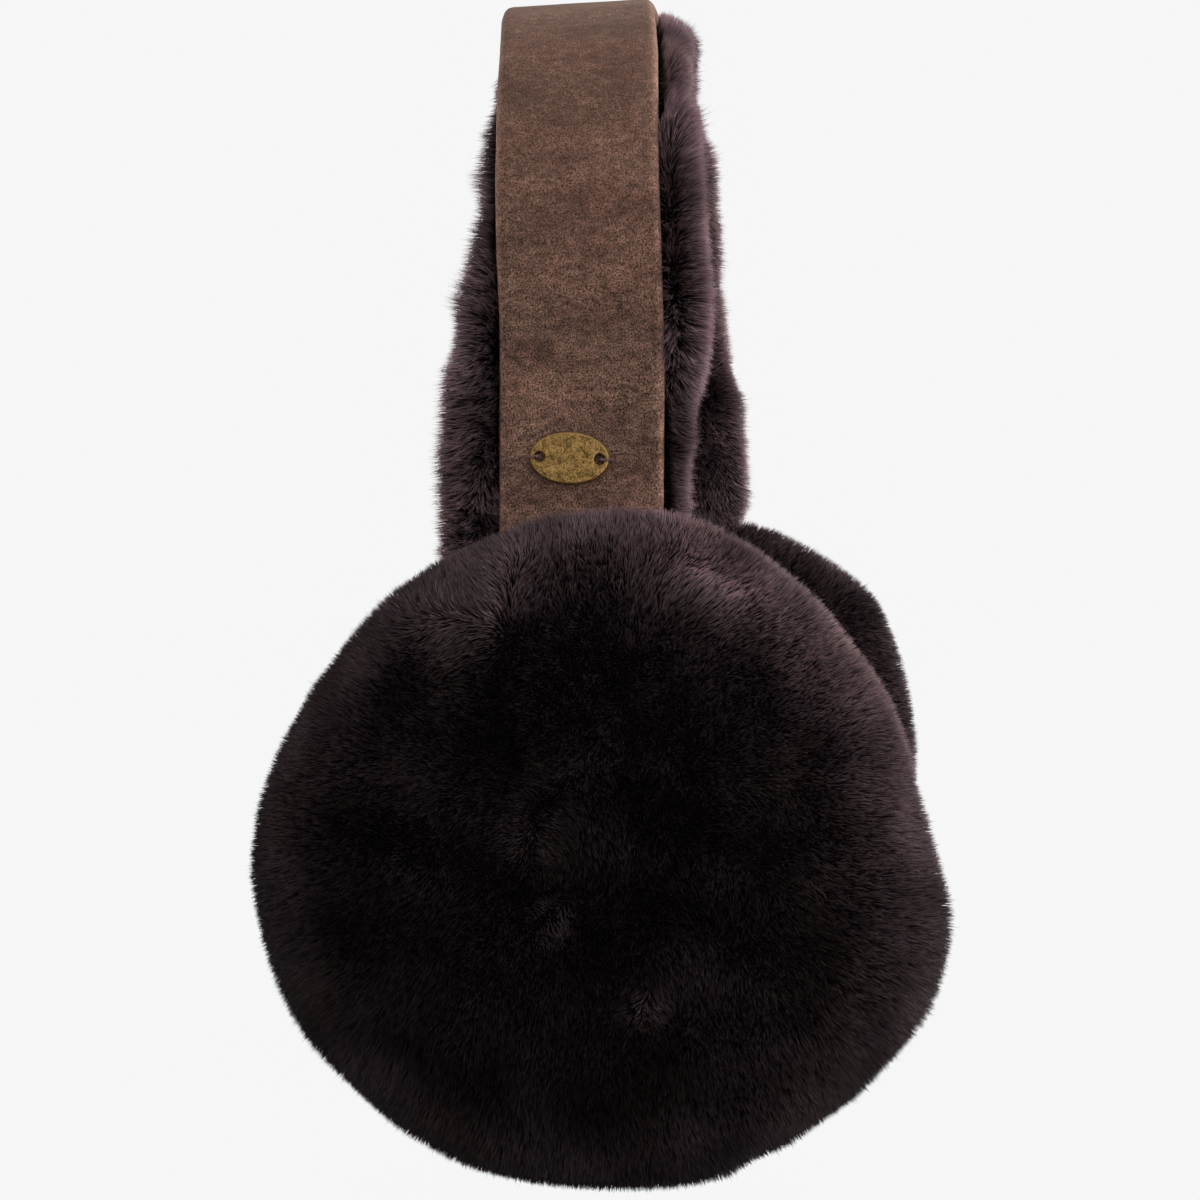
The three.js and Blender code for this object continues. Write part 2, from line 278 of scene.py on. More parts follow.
def unit(rows):
    """Vectors brought to a length of 1."""
    return rows / np.maximum(np.linalg.norm(rows, axis=-1, keepdims=True), 1e-12)


def patchy(points, size, amount, seed):
    """A factor about 1 for each point that varies over patches of the given size."""
    shift = Vector((seed * 7.3, seed * 3.1, 0))
    return 1 + amount * np.array([noise.noise(Vector(p) / size + shift) for p in points])


def smooth_step(low, high, value):
    """0 up to low and 1 from high on, with a soft rise between."""
    part = np.clip((value - low) / (high - low), 0, 1)
    return part * part * (3 - 2 * part)


# The band: the suede strip and its lining follow one line

LEAN_HEIGHT = 70 * MM  # the left arm leans over this height above its end
ARM_OFFSET = 0.3 * MM  # the left arm stands this far behind the right one


def band_y(band, x, z):
    """Where the strip's middle lies from front to back: the left arm's end stands a little forward, and
    the crown drifts forward where the strip folds over."""
    low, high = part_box("headband_strip")
    share = x / high.x
    lean = band.lean * (x > 0) * (1 - smooth_step(low.z, low.z + LEAN_HEIGHT, z))
    over = smooth_step(0.2, 0.75, 1 - share) * smooth_step(-1, 0, share)
    return (low.y + high.y) / 2 + ARM_OFFSET * smooth_step(-1, 1, share) - lean - band.drift * over


def band_line(band, count):
    """Even stations along the strip's outer face, left end to right end: points and outward."""
    low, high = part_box("headband_strip")
    spring = high.z - band.crown_rise
    turn = np.linspace(0, math.pi, 8 * count)
    power = 2 / band.fullness
    across = np.cos(turn)
    x = high.x * np.sign(across) * np.abs(across) ** power
    z = spring + band.crown_rise * np.maximum(np.sin(turn), 0) ** power
    x = np.concatenate([[high.x], x, [low.x]])
    z = np.concatenate([[low.z], z, [low.z]])
    travel = np.concatenate([[0], np.cumsum(np.hypot(np.diff(x), np.diff(z)))])
    even = np.linspace(0, travel[-1], count)
    x, z = np.interp(even, travel, x), np.interp(even, travel, z)
    along = unit(np.stack([np.gradient(x), np.zeros(count), np.gradient(z)], 1))
    outward = np.stack([along[:, 2], np.zeros(count), -along[:, 0]], 1)
    return np.stack([x, band_y(band, x, z), z], 1), outward


def strip_tree(material):
    """Sweeps a rounded flat section along a curve and lets the face wave a little. Each point keeps how
    far across the strip it lies."""
    tree = new_tree("suede_strip", [
        ("Width", "NodeSocketFloat", 29 * MM),
        ("Thickness", "NodeSocketFloat", 4 * MM),
        ("Edge radius", "NodeSocketFloat", 1.5 * MM),
        ("Unevenness", "NodeSocketFloat", 0.5 * MM),
        ("Grain", "NodeSocketFloat", 0.8 * MM),
    ])
    given = add(tree, "NodeGroupInput").outputs
    section = add(tree, "GeometryNodeCurvePrimitiveQuadrilateral",
                  {"Width": given["Thickness"], "Height": given["Width"]})
    rounded = add(tree, "GeometryNodeFilletCurve",
                  {"Curve": section, "Count": 4, "Radius": given["Edge radius"]}, mode="POLY")
    even = add(tree, "GeometryNodeResampleCurve",
               {"Curve": rounded, "Length": given["Grain"]}, mode="LENGTH")
    place = add(tree, "GeometryNodeInputPosition")
    across = add(tree, "ShaderNodeSeparateXYZ", {0: place}).outputs["Y"]
    kept = add(tree, "GeometryNodeStoreNamedAttribute",
               {"Geometry": even, "Name": "across", "Value": across},
               data_type="FLOAT", domain="POINT")
    swept = add(tree, "GeometryNodeCurveToMesh",
                {"Curve": given["Geometry"], "Profile Curve": kept, "Fill Caps": True})
    # Waves of about 18 mm
    wave = add(tree, "ShaderNodeTexNoise", {"Scale": 55.0, "Detail": 2.0})
    centred = add(tree, "ShaderNodeVectorMath", {0: wave.outputs["Color"], 1: (0.5, 0.5, 0.5)},
                  operation="SUBTRACT")
    offset = add(tree, "ShaderNodeVectorMath", {0: centred, "Scale": given["Unevenness"]},
                 operation="SCALE")
    waved = add(tree, "GeometryNodeSetPosition", {"Geometry": swept, "Offset": offset})
    smooth = add(tree, "GeometryNodeSetShadeSmooth", {"Geometry": waved})
    close_tree(tree, smooth, material)
    return tree


def suede_material(band):
    """Brushed sheepskin suede: a matt nap with fine mottling, lighter and redder along its edges, with a
    painted shade over the crown and a painted light just above the pads.
    """
    material, tree, shader = new_material("brushed_suede")
    low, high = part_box("headband_strip")
    half = (high.y - low.y) / 2
    pad_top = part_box("left_pad_outer_cover")[1].z
    here = add(tree, "ShaderNodeTexCoord").outputs["Object"]
    height = add(tree, "ShaderNodeSeparateXYZ", {0: here}).outputs["Z"]
    # Nap 0.3 mm; specks 1.2 mm; clouds 8 mm; handled bands 16 mm, longer across the strip
    nap = add(tree, "ShaderNodeTexNoise",
              {"Vector": here, "Scale": 1 / (0.3 * MM), "Detail": 2.0, "Roughness": 0.6})
    drawn = add(tree, "ShaderNodeMapping", {"Vector": here, "Scale": (1, 0.6, 1)})
    specks = add(tree, "ShaderNodeTexNoise",
                 {"Vector": drawn, "Scale": 1 / (1.2 * MM), "Detail": 2.0, "Roughness": 0.6})
    stretched = add(tree, "ShaderNodeMapping", {"Vector": here, "Scale": (1, 0.45, 1.15)})
    clouds = add(tree, "ShaderNodeTexNoise",
                 {"Vector": stretched, "Scale": 1 / (8 * MM), "Detail": 4.0, "Roughness": 0.6})
    bands = add(tree, "ShaderNodeTexNoise", {"Vector": stretched, "Scale": 1 / (16 * MM), "Detail": 3.0})
    # How strongly each pattern shows, then what changes up the arch: the nap is softer over the crown and
    # darker there, a painted shade over the lit top, and paler just above the pads, a painted light against
    # the pads' shadow
    levels = {}
    for name, value, start, end, first, last in (
        ("nap", nap, 0.35, 0.65, 0.15, 1.85),
        ("specks", specks, 0.3, 0.7, 0.6, 1.4),
        ("clouds", clouds, 0.3, 0.7, 0.5, 1.5),
        ("sharp", height, high.z - 75 * MM, high.z, 1.0, 0.5),
        # Darker over the crown: a painted shade
        ("crown", height, high.z - 30 * MM, high.z, 1.0, 0.68),
        # Paler above the pads: a painted light against the pads' shadow
        ("painted_fill", height, pad_top, pad_top + 30 * MM, 1.18, 1.0),
    ):
        levels[name] = add(tree, "ShaderNodeMapRange", {
            "Value": value, "From Min": start, "From Max": end, "To Min": first, "To Max": last,
        })
    grain = 1.0
    for name in ("nap", "specks", "clouds"):
        grain = add(tree, "ShaderNodeMath", {0: levels[name], 1: grain}, operation="MULTIPLY")
    uneven = add(tree, "ShaderNodeMath", {0: grain, 1: 1.0}, operation="SUBTRACT")
    grey = add(tree, "ShaderNodeMath", {0: uneven, 1: levels["sharp"], 2: 1.0}, operation="MULTIPLY_ADD")
    for name in ("crown", "painted_fill"):
        grey = add(tree, "ShaderNodeMath", {0: grey, 1: levels[name]}, operation="MULTIPLY")
    worn = add(tree, "ShaderNodeMapRange", {"Value": bands, "From Min": 0.35, "From Max": 0.65})
    ground = add(tree, "ShaderNodeMix",
                 {"Factor": worn, "A": (*band.suede, 1), "B": (*band.handled, 1)}, data_type="RGBA")
    # The rounded edge is lighter and redder over its outer 1.3 mm
    across = add(tree, "ShaderNodeAttribute", attribute_name="across").outputs["Fac"]
    distance = add(tree, "ShaderNodeMath", {0: across}, operation="ABSOLUTE")
    edge = add(tree, "ShaderNodeMapRange",
               {"Value": distance, "From Min": half - 1.3 * MM, "From Max": half - 0.3 * MM,
                "To Min": 0.0, "To Max": 0.75})
    lighter_edge = add(tree, "ShaderNodeMix",
                 {"Factor": edge, "A": ground.outputs["Result"], "B": (*linear("#9c7666"), 1)},
                 data_type="RGBA")
    shaded = add(tree, "ShaderNodeVectorMath",
                 {0: lighter_edge.outputs["Result"], "Scale": grey}, operation="SCALE")
    bump = add(tree, "ShaderNodeBump", {"Height": nap, "Strength": 0.6, "Distance": 0.3 * MM})
    wire(tree, shader, {
        "Base Color": shaded,
        "Normal": bump,
        "Roughness": 0.95,
        "Specular IOR Level": 0.15,
        "Sheen Weight": 0.12,
        "Sheen Roughness": 0.6,
        "Sheen Tint": (*linear("#9a8474"), 1),
    })
    return material


def line_curve(name, points, tilt):
    """A curve object of one poly spline through the points, turned about itself by tilt at each."""
    data = bpy.data.curves.new(name, "CURVE")
    data.dimensions = "3D"
    spline = data.splines.new("POLY")
    spline.points.add(len(points) - 1)
    spline.points.foreach_set("co", np.column_stack([points, np.ones(len(points))]).ravel())
    spline.points.foreach_set("tilt", tilt)
    return placed(name, data)


class EARMUFFS_OT_strip(bpy.types.Operator):
    """The suede strip over the head, swept along the arch with a rounded section"""

    bl_idname = "earmuffs.strip"
    bl_label = "Suede strip"

    def execute(self, context):
        band = context.scene.earmuff_band
        points, outward = band_line(band, 220)
        low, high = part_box("headband_strip")
        tilt = math.radians(band.twist) * smooth_step(high.z - band.crown_rise, high.z, points[:, 2])
        curve = line_curve("strip_line", points - outward * band.thickness / 2, tilt)
        tree = strip_tree(suede_material(band))
        strip = grown(curve, tree, {
            "Width": high.y - low.y,
            "Thickness": band.thickness,
            "Edge radius": band.edge_radius,
            "Unevenness": band.unevenness,
        }, "suede_strip")
        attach(strip, "root")
        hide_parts("headband_strip")
        return {"FINISHED"}


# Fur: skins that carry the pile, and the pile itself

LOWEST = 0.3 * MM  # the pile's tips stay this far above the floor
PAD_RADIUS = 60 * MM  # from a pad's middle to the rim of its skin
LOCKS = 9 * MM  # the pile's length and dye vary over locks of this size

# Fibres of each cover: the outer covers show most
PAD_PILE = [
    ("left", "outer", 190_000),
    ("left", "inner", 110_000),
    ("right", "outer", 135_000),
    ("right", "inner", 120_000),
]
# Fibres of each half of the lining, with the side of the middle that it lies on
LINING_PILE = [("left", 1, 130_000), ("right", -1, 120_000)]

# Each cover's rows of points, how far its rim is spread where the band passes, and how far beside it
COVERS = {"outer": (20, 2.6 * MM, 1.5 * MM), "inner": (16, 7.4 * MM, 7 * MM)}

# How far each pad's outline stands off its round: degrees from the back upwards, and millimetres
PAD_OUTLINE = {
    "left": (
        (-180, 0), (-140, 0.1), (-105, 0.8), (-75, 1.6), (-50, 1.2), (-22, 0.9), (-5, -0.5), (10, -1.4),
        (25, 0.3), (60, 0), (125, -0.7), (150, -1.1), (180, 0),
    ),
    "right": (
        (-180, 0), (-20, 1), (0, 2.1), (12, 2.2), (22, 1.7), (33, 2.5), (40, 2.2), (48, 1), (60, 1.4),
        (80, 1), (100, 0), (180, 0),
    ),
}

# Where the left pad's nap parts: back and up from its middle in mm, the line's angle, reach, lean
PARTINGS = [
    (-10, 47, 80, 8, 1.0),
    (-21, 42, -8, 8, 1.2),
    (22, 46, -30, 10, -0.6),
    (-2, 13, 56, 7, 0.6),
    (-7, 6, 80, 6, 0.8),
    (-4.5, -7.5, 40, 3.5, 1.8),
    (10.5, -23, 65, 3.5, 2.4),
]
PARTING_WIDTH = 1.6 * MM  # how soon the fibres lean away on each side of a parting
SHEEN_LINE_WIDTH = 2.2 * MM  # how far the painted sheen along a parting reaches on each side of it
MOST_LEAN = 1.2  # more would lay the fibres flat


def fur_tree(material):
    """Sheared pile: one tapered blade per fibre, stood along the skin's "stand" vectors and leaning
    with its nap, its locks and a little chance, shortened where it would pass the floor."""
    tree = new_tree("sheared_pile", [
        ("Density", "NodeSocketFloat", 9e6),
        ("Fibre width", "NodeSocketFloat", 0.24 * MM),
        ("Wave size", "NodeSocketFloat", 15 * MM),
        ("Wave lean", "NodeSocketFloat", 0.45),
        ("Lock size", "NodeSocketFloat", 1.9 * MM),
        ("Lock lean", "NodeSocketFloat", 0.34),
        ("Stray lean", "NodeSocketFloat", 0.12),
        ("Seed", "NodeSocketInt", 1),
    ])
    given = add(tree, "NodeGroupInput").outputs
    stored = {
        name: add(tree, "GeometryNodeInputNamedAttribute", {"Name": name}, data_type=kind)
        for name, kind in (("cover", "FLOAT"), ("pile", "FLOAT"), ("stand", "FLOAT_VECTOR"),
                           ("nap", "FLOAT_VECTOR"))
    }
    density = add(tree, "ShaderNodeMath", {0: given["Density"], 1: stored["cover"]}, operation="MULTIPLY")
    roots = add(tree, "GeometryNodeDistributePointsOnFaces",
                {"Mesh": given["Geometry"], "Density": density, "Seed": given["Seed"]})
    here = add(tree, "GeometryNodeInputPosition")
    lean = stored["nap"]
    for size, most in (("Wave size", "Wave lean"), ("Lock size", "Lock lean")):
        scale = add(tree, "ShaderNodeMath", {0: 1.0, 1: given[size]}, operation="DIVIDE")
        waves = add(tree, "ShaderNodeTexNoise", {"Vector": here, "Scale": scale, "Detail": 1.0})
        even = add(tree, "ShaderNodeVectorMath", {0: waves.outputs["Color"], 1: (0.5, 0.5, 0.5)},
                   operation="SUBTRACT")
        doubled = add(tree, "ShaderNodeMath", {0: given[most], 1: 2.0}, operation="MULTIPLY")
        part = add(tree, "ShaderNodeVectorMath", {0: even, "Scale": doubled}, operation="SCALE")
        lean = add(tree, "ShaderNodeVectorMath", {0: lean, 1: part}, operation="ADD")
    chance = add(tree, "FunctionNodeRandomValue",
                 {"Min": (-1, -1, -1), "Max": (1, 1, 1), "Seed": given["Seed"]}, data_type="FLOAT_VECTOR")
    stray = add(tree, "ShaderNodeVectorMath", {0: chance, "Scale": given["Stray lean"]}, operation="SCALE")
    lean = add(tree, "ShaderNodeVectorMath", {0: lean, 1: stray}, operation="ADD")
    # Only the part of the lean that lies in the skin counts
    rise = add(tree, "ShaderNodeVectorMath", {0: lean, 1: stored["stand"]}, operation="DOT_PRODUCT")
    upright = add(tree, "ShaderNodeVectorMath",
                  {0: stored["stand"], "Scale": rise.outputs["Value"]}, operation="SCALE")
    level = add(tree, "ShaderNodeVectorMath", {0: lean, 1: upright}, operation="SUBTRACT")
    towards = add(tree, "ShaderNodeVectorMath", {0: stored["stand"], 1: level}, operation="ADD")
    way = add(tree, "ShaderNodeVectorMath", {0: towards}, operation="NORMALIZE")
    # Length: a little uneven, rarely up to a third more, and no more than what is left above the floor
    uneven = add(tree, "FunctionNodeRandomValue", {2: 0.82, 3: 1.12, "Seed": given["Seed"]},
                 data_type="FLOAT")
    rare = add(tree, "FunctionNodeRandomValue", {2: 0.0, 3: 1.0, "Seed": 5}, data_type="FLOAT")
    longest = add(tree, "ShaderNodeMath", {0: rare.outputs[1], 1: 30.0}, operation="POWER")
    extra = add(tree, "ShaderNodeMath", {0: longest, 1: 0.35, 2: uneven.outputs[1]},
                operation="MULTIPLY_ADD")
    full = add(tree, "ShaderNodeMath", {0: stored["pile"], 1: extra}, operation="MULTIPLY")
    height = add(tree, "ShaderNodeSeparateXYZ", {0: here}).outputs["Z"]
    drop = add(tree, "ShaderNodeSeparateXYZ", {0: way}).outputs["Z"]
    falling = add(tree, "ShaderNodeMath", {0: drop, 1: -1.0}, operation="MULTIPLY")
    fall = add(tree, "ShaderNodeMath", {0: falling, 1: 0.001}, operation="MAXIMUM")
    above = add(tree, "ShaderNodeMath", {0: height, 1: LOWEST}, operation="SUBTRACT")
    room = add(tree, "ShaderNodeMath", {0: above, 1: fall}, operation="DIVIDE")
    long = add(tree, "ShaderNodeMath", {0: full, 1: room}, operation="MINIMUM")
    # The blade: a triangle from a three-cornered circle, stood on its edge, 1 long
    circle = add(tree, "GeometryNodeMeshCircle", {"Vertices": 3, "Radius": 2 / 3}, fill_type="NGON")
    narrow = add(tree, "ShaderNodeMath", {0: given["Fibre width"], 1: 2 / math.sqrt(3)}, operation="DIVIDE")
    shape = add(tree, "ShaderNodeCombineXYZ", {"X": 1.0, "Y": narrow, "Z": 1.0})
    blade = add(tree, "GeometryNodeTransform", {
        "Geometry": circle,
        "Translation": (0, 0, 1 / 3),
        "Rotation": (0, -math.pi / 2, 0),
        "Scale": shape,
    })
    marked = add(tree, "GeometryNodeStoreNamedAttribute",
                 {"Geometry": blade, "Name": "tip",
                  "Value": add(tree, "ShaderNodeSeparateXYZ", {0: here}).outputs["Z"]},
                 data_type="FLOAT", domain="POINT")
    aligned = add(tree, "FunctionNodeAlignRotationToVector", {"Vector": way}, axis="Z")
    spin = add(tree, "FunctionNodeRandomValue", {2: 0.0, 3: 2 * math.pi, "Seed": given["Seed"]},
               data_type="FLOAT")
    about = add(tree, "FunctionNodeAxisAngleToRotation", {"Axis": (0, 0, 1), "Angle": spin.outputs[1]})
    turned = add(tree, "FunctionNodeRotateRotation",
                 {"Rotation": aligned, "Rotate By": about}, rotation_space="LOCAL")
    stretch = add(tree, "ShaderNodeCombineXYZ", {"X": 1.0, "Y": 1.0, "Z": long})
    pile = add(tree, "GeometryNodeInstanceOnPoints", {
        "Points": roots,
        "Instance": marked,
        "Rotation": turned,
        "Scale": stretch,
    })
    tint = add(tree, "FunctionNodeRandomValue", {2: 0.0, 3: 1.0, "Seed": 7}, data_type="FLOAT")
    tinted = add(tree, "GeometryNodeStoreNamedAttribute",
                 {"Geometry": pile, "Name": "shade", "Value": tint.outputs[1]},
                 data_type="FLOAT", domain="INSTANCE")
    close_tree(tree, tinted, material)
    return tree


def fur_material(fur):
    """Dyed sheared lambskin: soft matt fibres, near black in their depth and mauve brown at the tips, the
    tips scaled by a painted light and shade.
    """
    material, tree, shader = new_material("dyed_lambskin_pile")
    tip = add(tree, "ShaderNodeAttribute", attribute_name="tip").outputs["Fac"]
    shade = add(tree, "ShaderNodeAttribute", attribute_name="shade").outputs["Fac"]
    # Painted light and shade on the tips, held by each point
    painted_light = add(tree, "ShaderNodeAttribute", attribute_name="painted_light").outputs["Fac"]
    here = add(tree, "ShaderNodeTexCoord").outputs["Object"]
    # Dye takes unevenly in patches of about 16 mm
    patches = add(tree, "ShaderNodeTexNoise", {"Vector": here, "Scale": 1 / (16 * MM), "Detail": 2.0})
    browner = add(tree, "ShaderNodeMapRange", {"Value": patches, "From Min": 0.42, "From Max": 0.68})
    ends = add(tree, "ShaderNodeMix",
               {"Factor": browner, "A": (*fur.tip, 1), "B": (*linear("#5e4e4e"), 1)},
               data_type="RGBA")
    # The tips' colour scaled by the painted light
    lit_tips = add(tree, "ShaderNodeVectorMath", {0: ends.outputs["Result"], "Scale": painted_light}, operation="SCALE")
    rising = add(tree, "ShaderNodeMath", {0: tip, 1: 2.2}, operation="POWER")
    along = add(tree, "ShaderNodeMix",
                {"Factor": rising, "A": (*fur.root, 1), "B": lit_tips},
                data_type="RGBA")
    light = add(tree, "ShaderNodeMapRange", {"Value": shade, "To Min": 0.8, "To Max": 1.2})
    tinted = add(tree, "ShaderNodeVectorMath",
                 {0: along.outputs["Result"], "Scale": light}, operation="SCALE")
    wire(tree, shader, {"Base Color": tinted, "Roughness": 0.55, "Specular IOR Level": 0.22})
    return material


def underwool_material(fur):
    """Dense underwool on the skin: matt and nearly black, its dark dye deepened by a painted shade, so that
    gaps in the pile read as depth.
    """
    material, tree, shader = new_material("dense_underwool")
    here = add(tree, "ShaderNodeTexCoord").outputs["Object"]
    # Crimped tufts of about 0.8 mm
    crimp = add(tree, "ShaderNodeTexNoise", {"Vector": here, "Scale": 1 / (0.8 * MM), "Detail": 3.0})
    mixed = add(tree, "ShaderNodeMix",
                {"Factor": crimp, "A": (*linear("#060405"), 1), "B": (*fur.root, 1)},
                data_type="RGBA")
    bump = add(tree, "ShaderNodeBump", {"Height": crimp, "Distance": 0.5 * MM})
    wire(tree, shader, {
        "Base Color": mixed.outputs["Result"],
        "Normal": bump,
        "Roughness": 1.0,
        "Specular IOR Level": 0.1,
    })
    return material


def fur_parts(fur):
    """The pile's tree and the underwool, made once for pads and lining."""
    tree = bpy.data.node_groups.get("sheared_pile") or fur_tree(fur_material(fur))
    underwool = bpy.data.materials.get("dense_underwool") or underwool_material(fur)
    return tree, underwool


def fibre_map(mesh):
    """Gives each fibre one small cell of the bake map, its root along the cell's lower edge."""
    margin = 0.15
    count = len(mesh.polygons)
    side = math.ceil(math.sqrt(count))
    corners = np.zeros(count * 3, np.int32)
    mesh.loops.foreach_get("vertex_index", corners)
    tip = numbers(mesh, "tip")[corners].reshape(-1, 3)
    # The tip is the same corner of every blade
    across = np.zeros((count, 3))
    across[:, [(int(np.argmax(tip[0])) + step) % 3 for step in range(3)]] = (0.5, margin, 1 - margin)
    cell = np.arange(count)[:, None]
    u = (cell % side + across) / side
    v = (cell // side + margin + (1 - 2 * margin) * tip) / side
    layer = mesh.uv_layers.new(name="OFBake")
    layer.data.foreach_set("uv", np.stack([u, v], -1).astype(np.float32).ravel())


def grow_pile(skin, name, count, fur, tree, seed):
    """The pile of a skin, with about count fibres; the skin holds cover, pile, stand and nap."""
    mesh = skin.data
    cover = numbers(mesh, "cover")
    area = sum(p.area * cover[list(p.vertices)].mean() for p in mesh.polygons)
    pile = grown(skin, tree, {
        "Density": count / area,
        "Fibre width": fur.fibre_width,
        "Seed": seed,
    }, name)
    for spare in ("cover", "pile", "stand", "nap"):
        found = pile.data.attributes.get(spare)
        if found:
            pile.data.attributes.remove(found)
    fibre_map(pile.data)
    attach(pile, "root")


def thick_skin(points, faces, name, thickness, material):
    """A skin with a real thickness, grown inwards from its outer face."""
    skin = mesh_object(name, points, faces)
    solid = skin.modifiers.new("thickness", "SOLIDIFY")
    solid.thickness = thickness
    solid.offset = -1
    mesh = plain_mesh(skin)
    mesh.materials.append(material)
    made = placed(name, mesh)
    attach(made, "root")
    return made


def grid_faces(rings, around):
    """Quads between rings of a closed round, given as the first point of each ring."""
    step = np.arange(around)
    following = (step + 1) % around
    return [
        (a + i, a + j, b + j, b + i)
        for a, b in zip(rings[:-1], rings[1:])
        for i, j in zip(step, following)
    ]


def outer_surface(node, direction, around, rows):
    """Rings of points on a cover's outer surface, from its seam to its face, read from the solid."""
    low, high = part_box(node)
    surface = solid_surface(node)
    seam = low.x if direction > 0 else high.x
    loft = high.x - low.x
    radius = (high.z - low.z) / 2
    middle = Vector((seam, (low.y + high.y) / 2, (low.z + high.z) / 2))
    # Rows lie evenly along a rounded profile, which is squarer on the flatter inner cover
    fullness = 3.2 if loft > 20 * MM else 4.5
    ring = 1 - np.linspace(0, 1, 400) ** 2
    lift = np.sqrt(1 - ring**fullness)
    travel = np.concatenate([[0], np.cumsum(np.hypot(np.diff(ring * radius), np.diff(lift * loft)))])
    even = np.linspace(0, travel[-1], rows + 1)[:-1]
    ring, lift = np.interp(even, travel, ring), np.interp(even, travel, lift)
    grid = np.zeros((rows, around, 3))
    outside = 0.3  # rays start this far out, in metres
    for j in range(around):
        angle = 2 * math.pi * j / around
        ratio = 1.0
        for i in reversed(range(rows)):
            aim = Vector((
                direction * max(lift[i] * loft, 0.4 * MM),
                ring[i] * radius * math.cos(angle),
                ring[i] * radius * math.sin(angle),
            ))
            start = middle + aim.normalized() * outside
            found = surface.ray_cast(start, -aim.normalized())[0]
            reach = (found - middle).length / aim.length if found else 0
            # Rays that pass into the band's pocket keep the outline of the ring before
            ratio = reach if reach > 0.88 else ratio
            grid[i, j] = middle + aim * ratio
    face = surface.ray_cast(middle + Vector((direction * outside, 0, 0)), Vector((-direction, 0, 0)))[0]
    return grid, np.array(face), middle, loft


CLOTH_FRAMES = 20  # by then the cloth has come to rest


def puffed(shell, held, most):
    """Swells a closed mesh with Cloth pressure and no gravity, and caps how far a point may move."""
    start, normal = points_and_normals(shell.data)
    group = shell.vertex_groups.new(name="held")
    group.add([int(i) for i in held], 1.0, "REPLACE")
    cloth = shell.modifiers.new("puff", "CLOTH")
    cloth.settings.vertex_group_mass = "held"
    cloth.settings.use_pressure = True
    cloth.settings.uniform_pressure_force = 4
    cloth.settings.effector_weights.gravity = 0
    scene = bpy.context.scene
    for number in range(1, CLOTH_FRAMES + 1):
        scene.frame_set(number)
    graph = bpy.context.evaluated_depsgraph_get()
    swollen = vectors(shell.evaluated_get(graph).data.vertices, "co")
    scene.frame_set(1)
    shell.modifiers.clear()
    moved = swollen - start
    size = np.linalg.norm(moved, axis=1, keepdims=True)
    return start + moved * most * np.tanh(size / most) / np.maximum(size, 1e-9)


def subdivided(points, faces):
    """A mesh of these points and faces after one level of subdivision."""
    rough = mesh_object("rough", points, faces)
    smooth = rough.modifiers.new("smooth", "SUBSURF")
    smooth.levels = smooth.render_levels = 1
    return plain_mesh(rough)


def pad_skin(side, cover, fur):
    """The skin of one cover: the solid's outer surface less the pile, swollen by its stuffing, with its
    rim spread where the band passes. Returns its mesh and what the pile needs."""
    node = f"{side}_pad_{cover}_cover"
    direction = (1 if side == "left" else -1) * (1 if cover == "outer" else -1)
    around = 72
    rows, depth, beside_band = COVERS[cover]
    grid, face, middle, loft = outer_surface(node, direction, around, rows)
    points = np.vstack([grid.reshape(-1, 3), face])
    last = len(points) - 1
    rings = [i * around for i in range(rows)]
    faces = grid_faces(rings, around)
    faces += [(rings[-1] + i, rings[-1] + (i + 1) % around, last) for i in range(around)]
    if direction < 0:
        faces = [f[::-1] for f in faces]
    surface = mesh_object("surface", points, faces)
    normal = points_and_normals(surface.data)[1]
    bpy.data.objects.remove(surface)
    # At the seam the pile stands in the seam's plane, a little inwards of it farther up
    near_seam = 1 - smooth_step(0, 0.35 * loft, np.abs(points[:, 0] - middle.x))
    normal[:, 0] *= 1 - near_seam
    normal = unit(normal)
    back, up = points[:, 1] - middle.y, points[:, 2] - middle.z
    angles, offsets = np.transpose(PAD_OUTLINE[side])
    stand_off = np.interp(np.degrees(np.arctan2(up, back)), angles, offsets) * MM
    radius = np.hypot(back, up)
    outline = smooth_step(0.6, 1.0, radius / radius.max())
    points[:, 1] += back / np.maximum(radius, 1e-6) * stand_off * outline
    points[:, 2] += up / np.maximum(radius, 1e-6) * stand_off * outline
    inset = points - normal * (0.55 * fur.pile + 0.6 * fur.puff * (1 - near_seam))[:, None]
    inset[:, 0] = np.where(near_seam > 0.999, middle.x, inset[:, 0])
    centre = len(inset)
    closed = mesh_object("closed", np.vstack([inset, middle]), faces + [
        (j, i, centre) if direction > 0 else (i, j, centre)
        for i, j in ((i, (i + 1) % around) for i in range(around))
    ])
    held = [*range(around), centre]
    skin = puffed(closed, held, fur.puff)[:centre]
    bpy.data.objects.remove(closed)
    # The band's slot at the top of the rim
    strip_low, strip_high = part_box("headband_strip")
    band_middle = (strip_low.y + strip_high.y) / 2
    half_band = (strip_high.y - strip_low.y) / 2
    half_slot = half_band + beside_band
    beside = 1 - smooth_step(half_slot, half_slot + 7 * MM, np.abs(skin[:, 1] - band_middle))
    top = smooth_step(middle.z + 0.3 * loft, middle.z + 1.2 * loft, skin[:, 2])
    spread = depth * beside * top
    off_seam = np.abs(skin[:, 0] - middle.x)
    skin_loft = off_seam.max()
    skin[:, 0] = middle.x + direction * (spread + off_seam * (1 - spread / skin_loft))
    skin[:, 2] = np.maximum(skin[:, 2], LOWEST + 0.5 * MM)
    return subdivided(skin, faces), node, direction, middle


def partings(points, middle):
    """Each parting: the way across its line in y and z, how far each point lies off the line, how near
    it is to the parting's middle, and the lean."""
    for y, z, degrees, reach, lean in PARTINGS:
        away = points[:, 1:] - (middle.y + y * MM, middle.z + z * MM)
        angle = math.radians(degrees)
        across = np.array([-math.sin(angle), math.cos(angle)])
        near = np.exp(-(away**2).sum(1) / (reach * MM) ** 2)
        yield across, away @ across, near, lean


